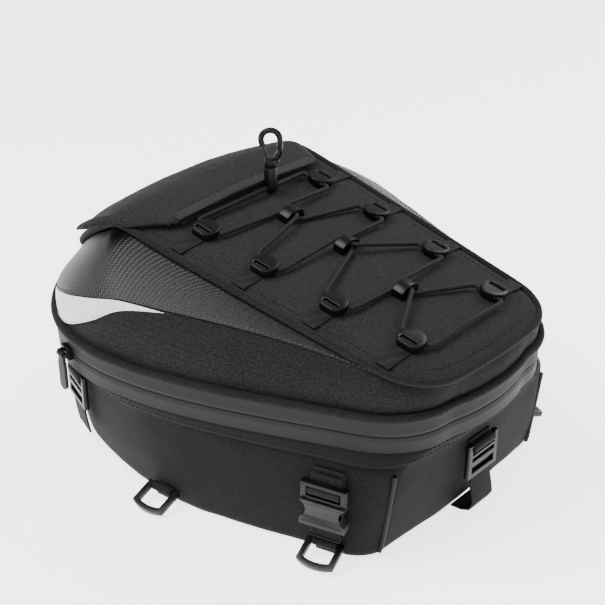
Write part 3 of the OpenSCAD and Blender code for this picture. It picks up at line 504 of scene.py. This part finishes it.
def applyAll(obj):
    bpy.ops.object.select_all(action="DESELECT")
    obj.select_set(True)
    bpy.context.view_layer.objects.active = obj
    for mod in list(obj.modifiers):
        bpy.ops.object.modifier_apply(modifier=mod.name)

# rows of points to a surface with UVs in metres; rows may close on themselves
def surface(name, rows, closed=False, cap=False):
    n = len(rows[0])
    m = len(rows)
    verts = [p for r in rows for p in r]
    alongs = []
    for r in rows:
        s, acc = 0, [0]
        for i in range(1, n + 1):
            s += (r[i % n] - r[i - 1]).length
            acc.append(s)
        alongs.append(acc)
    mid = alongs[m // 2]
    rise = [0]
    for k in range(1, m):
        rise.append(rise[-1] + (rows[k][n // 3] - rows[k - 1][n // 3]).length)
    faces, uvs = [], []
    for k in range(m - 1):
        for i in range(n if closed else n - 1):
            j = (i + 1) % n
            faces.append((k * n + i, k * n + j, (k + 1) * n + j, (k + 1) * n + i))
            uvs += [(mid[i] * mm, rise[k] * mm), (mid[i + 1] * mm, rise[k] * mm),
                    (mid[i + 1] * mm, rise[k + 1] * mm), (mid[i] * mm, rise[k + 1] * mm)]
    if cap:
        for k in (0, m - 1):
            faces.append([k * n + i for i in range(n)])
            uvs += [(0, 0)] * n
    return newObject(name, verts, faces, uvs)

# closed section swept round rings: the rings are joined last to first
def bandOf(name, rings):
    obj = surface(name, rings + [rings[0]], closed=True)
    bm = bmesh.new()
    bm.from_mesh(obj.data)
    bmesh.ops.remove_doubles(bm, verts=bm.verts, dist=1e-6)
    bmesh.ops.recalc_face_normals(bm, faces=bm.faces)
    bm.to_mesh(obj.data)
    bm.free()
    smooth(obj, 50)
    return obj

def tube(name, path, radius, sides=14, closed=True, squash=1.0):
    n = len(path)
    rows = []
    for i in range(n):
        a = path[(i - 1) % n] if closed else path[max(i - 1, 0)]
        b = path[(i + 1) % n] if closed else path[min(i + 1, n - 1)]
        t = (b - a).normalized()
        u = t.cross(Vector((0.02, 0.03, 1))).normalized()
        v = u.cross(t)
        r = radius[i] if isinstance(radius, list) else radius
        rows.append([path[i] + r * (math.cos(w) * u + squash * math.sin(w) * v)
                     for w in (2 * math.pi * k / sides for k in range(sides))])
    if closed:
        rows.append(rows[0])
    obj = surface(name, rows, closed=True, cap=not closed)
    bm = bmesh.new()
    bm.from_mesh(obj.data)
    bmesh.ops.remove_doubles(bm, verts=bm.verts, dist=1e-6)
    bmesh.ops.recalc_face_normals(bm, faces=bm.faces)
    bm.to_mesh(obj.data)
    bm.free()
    smooth(obj, 60)
    return obj

def ruffle(obj, amount, scale, seed=0.0):
    normals = [v.normal.copy() for v in obj.data.vertices]
    for v, nrm in zip(obj.data.vertices, normals):
        p = v.co * scale + Vector((seed, seed, seed))
        v.co += nrm * amount * mm * (noise.noise(p) + 0.5 * noise.noise(p * 2.3))

def thicken(obj, thickness):
    mod = obj.modifiers.new("thickness", "SOLIDIFY")
    mod.thickness = thickness * mm
    mod.offset = -1
    applyAll(obj)

def dress(obj, mat, body, *nodes):
    obj.data.materials.clear()
    obj.data.materials.append(finish[mat])
    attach(obj, body)
    if nodes:
        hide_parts(*nodes)

# a row of sewn stitches along a path lying on a surface
stitch = dict(length=2.6, gap=1.4, radius=0.38)

def stitches(name, path, mat, body, closed=False, size=stitch):
    verts, faces, uvs = [], [], []
    points = path + [path[0]] if closed else path
    carry, pitch = 0.0, size["length"] + size["gap"]
    for a, b in zip(points, points[1:]):
        seg = (b - a).length
        if seg < 1e-6:
            continue
        t = (b - a) / seg
        u = t.cross(Vector((0.02, 0.03, 1))).normalized()
        v = u.cross(t)
        while carry < seg:
            c = a + t * carry
            base = len(verts)
            for f, r in ((-0.5, 0.25), (-0.3, 1), (0.3, 1), (0.5, 0.25)):
                for k in range(6):
                    w = math.pi * k / 3
                    verts.append(c + t * size["length"] * f + size["radius"] * r * (math.cos(w) * u + math.sin(w) * v))
            for g in range(3):
                for k in range(6):
                    faces.append((base + g * 6 + k, base + g * 6 + (k + 1) % 6,
                                  base + g * 6 + 6 + (k + 1) % 6, base + g * 6 + 6 + k))
                    uvs += [(g * 0.001, k * 0.0004), (g * 0.001, (k + 1) * 0.0004),
                            (g * 0.001 + 0.001, (k + 1) * 0.0004), (g * 0.001 + 0.001, k * 0.0004)]
            faces.append([base + k for k in range(6)])
            faces.append([base + 18 + k for k in range(6)])
            uvs += [(0, 0)] * 12
            carry += pitch
        carry -= seg
    obj = newObject(name, verts, faces, uvs)
    outwards(obj)
    smooth(obj, 60)
    dress(obj, mat, body)
    return obj

# ---- lower body ----
fine = 5   # steps between two plan points

def makeLowerBody():
    rows = []
    for z in (0, 0.6, 1.8, 3.4, 5.5, 10, 18, 26, 34, 42, 50, 58, 65, 71, 75, 78, 80.5, 83, 86):
        l = wallLoop(z)
        if 5 < z < 71:
            l = inset(l, -1.1 * math.sin(math.pi * (z - 5) / 66))
        rows.append(refine(ringAt(l, z), fine))
    body = surface("sideWallCloth", rows, closed=True)
    outwards(body)
    ruffle(body, 0.9, 22)
    thicken(body, 3.6)
    for v in body.data.vertices:
        v.co.z = max(v.co.z, 0)   # flat on the floor
    smooth(body)
    dress(body, "body", "lower_body", "side_wall")

    rows = []
    base = inset(baseLoop, 4.2)
    for z, d in ((2.5, 1.2), (2.1, 0.3), (1.4, 0), (0.4, 0.3), (0, 1.4)):
        rows.append(refine(ringAt(inset(base, d), z), fine))
    for d in (20, 60, 100):
        rows.append([Vector((p.x * (1 - d / 150), p.y * (1 - d / 150), 0)) for p in rows[4]])
    top = [[Vector((p.x * (1 - d / 150), p.y * (1 - d / 150), 2.5)) for p in rows[0]] for d in (100, 60, 20)]
    panel = surface("basePanelCloth", top + rows, closed=True, cap=True)
    outwards(panel)
    smooth(panel)
    dress(panel, "body", "lower_body", "base_panel")

    rings = []
    for z, d in ((77, 1.2), (77.2, 1.9), (78, 2.35), (81.5, 2.45), (84.6, 2.35), (85.5, 1.9), (85.7, 1.2)):
        rings.append(refine(ringAt(inset(wallLoop(z), -d), z), fine))
    for z, d in ((84.5, 1.0), (81.5, 1.0), (78, 1.0)):
        rings.append(refine(ringAt(inset(wallLoop(z), -d), z), fine))
    hem = bandOf("hemTape", rings)
    ruffle(hem, 0.25, 60, 3)
    dress(hem, "hem", "lower_body", "hem_binding")
    for k, z in enumerate((79.2, 83.6)):
        path = refine(ringAt(inset(wallLoop(z), -2.5), z), fine)
        stitches("hemStitches%d" % k, path, "hemThread", "lower_body", closed=True)

    # piping down the two narrow corners, one open tube each
    for s in (-1, 1):
        path = []
        for k in range(15):
            z = 4 + (bag["shoulderZ"] - 6) * k / 14
            l = inset(wallLoop(z), -1.2)
            a = math.radians(lerp(16, 25, k / 14))
            cx = l[2] - l[7] - l[5]
            path.append(Vector((cx + l[5] * math.cos(a), s * (l[4] + l[5] * math.sin(a)), z)))
        pipe = tube("cornerPiping" + ("Right" if s < 0 else "Left"), path, 1.7, closed=False)
        dress(pipe, "cornerPiping", "lower_body", "corner_piping")
    print("tail bag: lower body")

# ---- zip band: two coated tapes with the teeth pressed through ----
zipBand = dict(teethPitch=2.3, teethRows=(95.2, 100.8), endX=-84)

def makeZipBand():
    for name, z0, z1, node, body, lip in (("zipTapeLower", 85.2, 97.75, "zip_tape_lower", "lower_body", 1),
                                          ("zipTapeUpper", 98.25, 110, "zip_tape_upper", "lid", -1)):
        rings = []
        edge = z1 if lip > 0 else z0
        far = z0 if lip > 0 else z1
        for t, d in ((0, 1.3), (0, 0.35), (0.04, 0.05), (0.12, -0.15), (0.3, -0.45), (0.45, -0.1), (0.75, -0.1), (1, 0), (1, 1.3)):
            z = lerp(edge, far, t)
            rings.append(refine(ringAt(inset(bandLoop, d), z), fine))
        band = bandOf(name, rings)
        dress(band, "zipBand", body, node)
    for name, z, body in (("teethLower", 94.6, "lower_body"), ("teethUpper", 101.4, "lid")):
        pts = refine(ringAt(inset(bandLoop, -0.36), z), fine)
        pts = [p for p in pts if p.x > zipBand["endX"] + 6]
        order = sorted(range(len(pts)), key=lambda k: math.atan2(pts[k].y, pts[k].x + 60))
        pts = [pts[k] for k in order]
        stitches(name, pts, "zipTeeth", body, size=dict(length=1.1, gap=1.3, radius=0.3))
    print("tail bag: zip band")

# ---- lid ----
lidPipe = dict(radius=3.0, corner=0.35)

def makeLid():
    rows = []
    for k in range(19):
        rows.append(refine(mirrored([sidePt(i, k / 18, 0) for i in range(halfN + 1)]), fine))
    lid = surface("lidSideCloth", rows, closed=True)
    outwards(lid)
    ruffle(lid, 0.8, 24, 7)
    thicken(lid, 3.6)
    smooth(lid)
    dress(lid, "lid", "lid", "lid_wall")

    r = lidPipe["radius"]
    rings = []
    for k in range(14):
        a = 2 * math.pi * k / 14
        rings.append(refine(ringAt(inset(bandLoop, bag["lidIn"] - 0.3 - r - r * math.cos(a)), bag["bandZ"] + r * (1 + math.sin(a))), fine))
    pipe = bandOf("lidPiping", rings)
    ruffle(pipe, 0.25, 40, 2)
    dress(pipe, "piping", "lid", "lid_piping")
    path = refine(ringAt(inset(bandLoop, -0.4), 109.6), fine)
    stitches("bandStitches", path, "darkThread", "lid", closed=True)

    s = sunkHalf(1.4)
    path = []
    for i in range(halfN + 1):
        a = math.radians(seamAngle[i])
        n = Vector((-math.cos(a), 0, math.sin(a)))
        t = Vector((0, 1, 0)) if i == 0 else Vector((0, -1, 0)) if i == halfN else (s[i + 1] - s[i - 1]).normalized()
        path.append(s[i] + n.cross(t).normalized() * 1.5)
    pipe = tube("topPiping", refine(mirrored(path), fine), 2.7)
    dress(pipe, "piping", "lid", "top_piping")
    print("tail bag: lid sides and piping")

def panelRow(i, s):
    p, a = seamHalf[i], seamAngle[i]
    y = s * p.y
    x = dome(a, y).x if i < steps["wide"] + 1 else p.x + (1.5 * (1 - s * s) if i == halfN - steps["end"] else 0)
    sa, ca = math.sin(math.radians(a)), math.cos(math.radians(a))
    return Vector((x, y, p.z + bag["crown"] * fade(x) * (1 - s * s) * sa)), Vector((-ca, 0, sa))

topPad = dict(rim=1.6, puff=0.6)

def makeTopPanel():
    cols = [-1 + 2 * k / 12 for k in range(13)]
    rows = range(3, halfN - steps["end"] + 1)
    grid = []
    for i in rows:
        line = []
        for s in cols:
            p, n = panelRow(i, s)
            line.append(p)
        grid.append(line)
    # finer both ways
    grid = [refine(line, 5, closed=False) for line in grid]
    turned = [refine([grid[k][j] for k in range(len(grid))], 5, closed=False) for j in range(len(grid[0]))]
    m, n = len(turned[0]), len(turned)
    rows = []
    for k in range(m):
        line = []
        for j in range(n):
            e = min(j, n - 1 - j, k, m - 1 - k) / 4
            drop = topPad["rim"] * max(0, 1 - e) ** 2
            p = turned[j][k].copy()
            p.z -= drop * (1 if 15 < k < m - 12 else 0.3)
            if k > m - 3:
                p.x += 1.2 * (k - m + 3)
            line.append(p)
        rows.append(line)
    top = surface("topPanelCloth", rows)
    outwards(top)
    if sum(p.normal.z for p in top.data.polygons) < 0:
        top.data.flip_normals()
    ruffle(top, 0.5, 26, 11)
    thicken(top, 4.4)
    smooth(top)
    dress(top, "panel", "lid", "top_panel")

    seamPath = []
    for i in range(4, halfN + 1):
        p = seamHalf[i] if i <= halfN else None
        y = max(0.0, p.y - 7.5) if i < halfN - 2 else p.y
        x = p.x - (6.5 if i >= halfN - 6 else 0)
        y = min(y, halfWidth(x) - 7.5) if i < halfN - 3 else y
        seamPath.append(Vector((x, y, topZ(x, y) + 0.25)))
    both = [Vector((p.x, -p.y, p.z)) for p in seamPath] + [p for p in reversed(seamPath[:-1])]
    stitches("panelStitches", refine(both, 5, closed=False), "darkThread", "lid")
    print("tail bag: top panel")

# ---- coated side trims with their stitched edge, and the bright corners ----
sideTrim = dict(stations=(2, 3, 4, 5, 6, 7, 8, 9, 10, 11, 12),
                low=(0.3, 0.34, 0.4, 0.47, 0.5, 0.54, 0.62, 0.71, 0.81, 0.92, 0.985), high=0.985, thickness=0.8)
bright = dict(stations=(3, 4, 5, 6, 7, 8), low=(0.2, 0.1, 0.14, 0.3, 0.46, 0.6),
              high=(0.33, 0.39, 0.46, 0.49, 0.53, 0.6))

def skinGrid(stations, low, high, side, lift, across):
    lowPts, rows = [], []
    cols = []
    for k, i in enumerate(stations):
        cols.append([sidePt(i, lerp(low[k], high[k], j / across), -lift) for j in range(across + 1)])
    for j in range(across + 1):
        rows.append(refine([c[j] for c in cols], 6, closed=False))
    return [[Vector((p.x, side * p.y, p.z)) for p in r] for r in rows]

def makeTrims():
    for side, word in ((1, "left"), (-1, "right")):
        rows = skinGrid(sideTrim["stations"], sideTrim["low"], [sideTrim["high"]] * len(sideTrim["low"]), side, 1.7, 10)
        trim = surface("trim_" + word + "_cloth", rows)
        faceOut(trim, side)
        thicken(trim, sideTrim["thickness"])
        smooth(trim)
        dress(trim, "trim", "lid", "trim_" + word)
        edge = [r for r in skinGrid(sideTrim["stations"], [v + 0.025 for v in sideTrim["low"]],
                                    [v + 0.05 for v in sideTrim["low"]], side, 1.85, 1)][0]
        stitches("trimStitches_" + word, edge, "trimThread", "lid")
        rows = skinGrid(bright["stations"], bright["low"], bright["high"], side, 1.6, 6)
        film = surface("reflector_" + word + "_film", rows)
        faceOut(film, side)
        thicken(film, 0.7)
        smooth(film)
        dress(film, "reflector", "lid", "reflector_" + word)
        stitches("filmStitches_" + word, skinGrid(bright["stations"], [v + 0.02 for v in bright["low"]],
                 bright["high"], side, 1.75, 1)[0][:-5], "paleThread", "lid")
    print("tail bag: trims")

def faceOut(obj, side):
    outwards(obj)
    if sum(p.normal.y * side for p in obj.data.polygons) < 0:
        obj.data.flip_normals()

# ---- flap: padded, swollen by a short cloth run ----
flapPad = dict(gap=2.2, thickness=4.0, tip=6.0, pressure=4, cap=0.0016, voxel=0.003)
flapPlan = [(-50, -74, 74), (-52, -80, 80), (-58, -86, 86), (-72, -104, 93), (-86, -122, 95),
            (-97, -132, 95), (-112, -120, 92), (-128, -94, 87)]

def flapPoint(x, y, up):
    return Vector((x, y, topZ(x, y) + up + flapPad["tip"] * max(0, (-y - 96) / 36) ** 2))

def makeFlap():
    plan = refine([Vector(p) for p in flapPlan], 4, closed=False)
    n = 60
    topRows, lowRows = [], []
    for x, y0, y1 in plan:
        ys = [lerp(y0, y1, k / n) for k in range(n + 1)]
        topRows.append([flapPoint(x, y, flapPad["gap"] + flapPad["thickness"]) for y in ys])
        lowRows.append([flapPoint(x, y, flapPad["gap"] + 0.3) for y in ys])
    m = len(plan)
    verts = [p for r in topRows for p in r] + [p for r in lowRows for p in r]
    half = m * (n + 1)
    faces = []
    for k in range(m - 1):
        for i in range(n):
            a, b, c, d = k * (n + 1) + i, k * (n + 1) + i + 1, (k + 1) * (n + 1) + i + 1, (k + 1) * (n + 1) + i
            faces += [(a, b, c, d), (half + d, half + c, half + b, half + a)]
    rim = [i for i in range(n + 1)] + [k * (n + 1) + n for k in range(1, m)] \
        + [(m - 1) * (n + 1) + i for i in range(n - 1, -1, -1)] + [k * (n + 1) for k in range(m - 2, 0, -1)]
    for a, b in zip(rim, rim[1:] + rim[:1]):
        faces.append((a, b, half + b, half + a))
    flap = newObject("flapPad", verts, faces)
    outwards(flap)
    swell(flap, flapPad)
    ruffle(flap, 0.5, 20, 5)
    smooth(flap, 60)
    dress(flap, "flapSoft", "flap", "flap")
    print("tail bag: flap")

# remesh, a few frames of cloth under pressure, each point moving no further than the cap
def swell(obj, pad):
    bpy.ops.object.select_all(action="DESELECT")
    obj.select_set(True)
    bpy.context.view_layer.objects.active = obj
    mod = obj.modifiers.new("remesh", "REMESH")
    mod.mode = "VOXEL"
    mod.voxel_size = pad["voxel"]
    bpy.ops.object.modifier_apply(modifier=mod.name)
    mod = obj.modifiers.new("even", "SMOOTH")
    mod.iterations = 3
    bpy.ops.object.modifier_apply(modifier=mod.name)
    before = [v.co.copy() for v in obj.data.vertices]
    cloth = obj.modifiers.new("cloth", "CLOTH")
    cloth.settings.use_pressure = True
    cloth.settings.uniform_pressure_force = pad["pressure"]
    cloth.settings.effector_weights.gravity = 0
    cloth.settings.quality = 5
    cloth.point_cache.frame_start, cloth.point_cache.frame_end = 1, 20
    for f in range(1, 21):
        scene.frame_set(f)
    bpy.ops.object.modifier_apply(modifier=cloth.name)
    scene.frame_set(1)
    for v, p in zip(obj.data.vertices, before):
        step = v.co - p
        if step.length > pad["cap"]:
            v.co = p + step.normalized() * pad["cap"]
    mod = obj.modifiers.new("fine", "SUBSURF")
    mod.levels = mod.render_levels = 1
    bpy.ops.object.modifier_apply(modifier=mod.name)

# ---- pieces that keep their moulded shape ----
def bodyOfNode(node):
    for body, nodes in frame["record"]["behaviour"]["bodies"].items():
        if node in nodes:
            return body

def moulded(node, mat, edge=0.45, segments=3):
    obj = frame["nodes"][node]
    obj.data.materials.clear()
    obj.data.materials.append(finish[mat])
    weld = obj.modifiers.new("weld", "WELD")
    weld.merge_threshold = 0.00001
    bevel = obj.modifiers.new("edges", "BEVEL")
    bevel.width = edge * mm
    bevel.segments = segments
    bevel.limit_method = "ANGLE"
    bevel.angle_limit = math.radians(35)
    bevel.harden_normals = False
    for poly in obj.data.polygons:
        poly.use_smooth = True

# a sewn piece of webbing: the plain solid with rounded edges
def sewn(node, mat, edge=0.35):
    obj = frame["nodes"][node].copy()
    obj.data = obj.data.copy()
    obj.name = node + "_woven"
    obj.parent = None
    scene.collection.objects.link(obj)
    obj.modifiers.clear()
    bm = bmesh.new()
    bm.from_mesh(obj.data)
    bmesh.ops.remove_doubles(bm, verts=bm.verts, dist=1e-5)
    bmesh.ops.dissolve_limit(bm, angle_limit=math.radians(2), verts=bm.verts, edges=bm.edges)
    bm.to_mesh(obj.data)
    bm.free()
    bevel = obj.modifiers.new("edges", "BEVEL")
    bevel.width = edge * mm
    bevel.segments = 2
    bevel.limit_method = "ANGLE"
    bevel.angle_limit = math.radians(35)
    applyAll(obj)
    smooth(obj, 50)
    dress(obj, mat, bodyOfNode(node), node)
    return obj

def makeHardware():
    for node in ("anchors_left", "anchors_right", "cross_clips"):
        moulded(node, "hardware", 0.7)
    for side in ("left", "right"):
        moulded("buckle_socket_" + side, "buckle", 0.9)
        moulded("buckle_plug_" + side, "hardware", 0.6)
        moulded("adjuster_rear_" + side, "hardware", 0.6)
        for place2 in ("front", "middle"):
            moulded("d_ring_%s_%s" % (side, place2), "hardware", 0.8)
            sewn("ring_webbing_%s_%s" % (side, place2), "webbing")
        sewn("plug_webbing_" + side, "webbing")
        sewn("buckle_strap_" + side, "webbing")
        sewn("adjuster_webbing_rear_" + side, "webbing")
        sewn("strap_rear_" + side, "webbing")
    moulded("adjuster_front", "hardware", 0.6)
    sewn("adjuster_webbing_front", "webbing")
    sewn("strap_front", "webbing")
    sewn("anchor_webbing", "tab", 0.3)
    moulded("zip_slider", "hardware", 0.5)
    moulded("zip_pull", "rubber", 0.6)
    moulded("zip_coil_lower", "hardware", 0.2, 1)
    moulded("zip_coil_upper", "hardware", 0.2, 1)
    moulded("base_board", "board", 0.4)
    moulded("hook_barrel", "hardware", 0.5)
    moulded("hook_gate", "buckle", 0.2)
    binding = sewn("flap_binding", "hookLoop", 0.3)
    for v in binding.data.vertices:
        v.co.z += flapPad["cap"]   # stays on the swollen flap
    sewn("flap_hook_tape", "hookLoop", 0.2)
    sewn("panel_loop_tape", "hookLoop", 0.2)
    print("tail bag: hardware and webbing")

# ---- elastic cord, held in its zigzag ----
elastic = dict(radius=1.7, route=[
    (-46, -58, 4.2), (-34, -58, 4.2), (-22, -58, 4.2), (-17, -3, 3), (-15, 2, 3),
    (-3, 2, 3), (0, 6, 3), (11, 55, 4.2), (13, 57, 4.2), (24, 57, 4.2), (35, 57, 4.2),
    (37, 53, 4.2), (37, 8, 3), (38, 5, 3), (48, 5, 3), (51, 2, 3), (72, -49, 4.2), (74, -52, 4.2),
    (85, -52, 4.2), (96, -52, 4.2), (98, -49, 4.2), (100, -7, 3), (101, -5, 3), (111, -5, 3),
    (113, -2, 3), (132, 40, 4.2), (134, 42, 4.2), (145, 42, 4.2), (156, 42, 4.2), (158, 39, 4.2),
    (158, 0, 5), (158, -39, 4.2), (156, -42, 4.2), (145, -42, 4.2), (134, -42, 4.2), (132, -40, 4.2),
    (114, -7, 6.8), (112, -5, 6.8), (101.5, -5, 6.8), (100, -2, 6.8), (97, 49, 4.2), (96, 52, 4.2),
    (85, 52, 4.2), (74, 52, 4.2), (72, 49, 4.2), (52, 8, 6.8), (49, 5, 6.8), (38.5, 5, 6.8),
    (37, 2, 6.8), (36, -54, 4.2), (35, -57, 4.2), (24, -57, 4.2), (13, -57, 4.2), (11, -54, 4.2),
    (0, -2, 6.8), (-3, 2, 6.8), (-15, 2, 6.8), (-17, 7, 6.8), (-20, 55, 4.2), (-22, 58, 4.2),
    (-34, 58, 4.2), (-46, 58, 4.2), (-47, 55, 4.4), (-43, 24, 6.2), (-43, 8, 6.2), (-46, -54, 4.4)])

# straight runs between the chosen points, each turn rounded by a short arc
def roundTurns(pts, radius, n=4):
    out = []
    m = len(pts)
    for i in range(m):
        a, b, c = pts[i - 1], pts[i], pts[(i + 1) % m]
        back, ahead = (a - b), (c - b)
        cut = min(radius, 0.42 * back.length, 0.42 * ahead.length)
        p, q = b + back.normalized() * cut, b + ahead.normalized() * cut
        for k in range(n + 1):
            t = k / n
            out.append(p * (1 - t) ** 2 + b * 2 * t * (1 - t) + q * t * t)
    return out

def makeCord():
    pts = [Vector((x, y, topZ(x, y) + h)) for x, y, h in elastic["route"]]
    cord = tube("elasticCordBraid", roundTurns(pts, 2.5), elastic["radius"], 12)
    dress(cord, "cord", "lid", "elastic_cord")
    print("tail bag: cord")

# ---- swivel hook: one smooth bar on a collar ----
swivel = dict(place=(-43, 16), height=6.2, barrel=17.3, turn=42, collar=6.0, hook=23.0, arm=7.2, bar=2.3)

def makeHook():
    base = topZ(*swivel["place"]) + swivel["height"] + swivel["barrel"]
    arm = swivel["arm"]
    arcZ = swivel["collar"] + swivel["hook"] - arm
    pts = [(arm - 2.6, 3), (arm - 2.6, 7), (arm - 1, 9.5), (arm, 13), (arm, arcZ - 4)]
    pts += [(arm * math.cos(math.radians(a)), arcZ + arm * math.sin(math.radians(a))) for a in range(0, 199, 22)]
    pts += [(-arm + 1.1, arcZ - 5)]
    c, s = math.cos(math.radians(swivel["turn"])), math.sin(math.radians(swivel["turn"]))
    x0, y0 = swivel["place"]
    path = refine([Vector((x0 + x * c, y0 + x * s, base + z)) for x, z in pts], 5, closed=False)
    bar = tube("hookBar", path, swivel["bar"], 18, closed=False)
    dress(bar, "hardware", "hook", "hook_body")
    bpy.ops.object.select_all(action="DESELECT")
    bpy.ops.mesh.primitive_cylinder_add(vertices=40, radius=4.9 * mm, depth=6 * mm,
                                        location=(x0 * mm, y0 * mm, (base + 3) * mm))
    collar = bpy.context.object
    collar.name = "hookCollar"
    bpy.ops.object.mode_set(mode="EDIT")
    bpy.ops.mesh.select_all(action="SELECT")
    bpy.ops.mesh.bevel(offset=0.8 * mm, segments=3, affect="EDGES")
    bpy.ops.object.mode_set(mode="OBJECT")
    bpy.ops.object.transform_apply(location=True, rotation=True, scale=True)
    smooth(collar, 40)
    dress(collar, "hardware", "hook", "hook_body")
    print("tail bag: hook")

# ---- fabric fold at the wide end ----
def makeFold():
    rows = []
    for k in range(13):
        z = 90 + 16 * k / 12
        rows.append([Vector((-183.2 + 9 * (y / 60) ** 2, y, z)) for y in range(-60, 61, 6)])
    fold = surface("hingeFold", rows)
    outwards(fold)
    thicken(fold, 0.8)
    smooth(fold)
    fold.data.materials.append(finish["soft"])
    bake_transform(fold)

setCamera()
makeFinishes()
finish["flapSoft"] = wovenMat("flapWoven", (0.0125, 0.011, 0.0125), pitch=1.2, bump=0.4, useUv=False)
setStudio()
makeLowerBody()
makeZipBand()
makeLid()
makeTopPanel()
makeTrims()
makeFlap()
makeHardware()
makeCord()
makeHook()
makeFold()
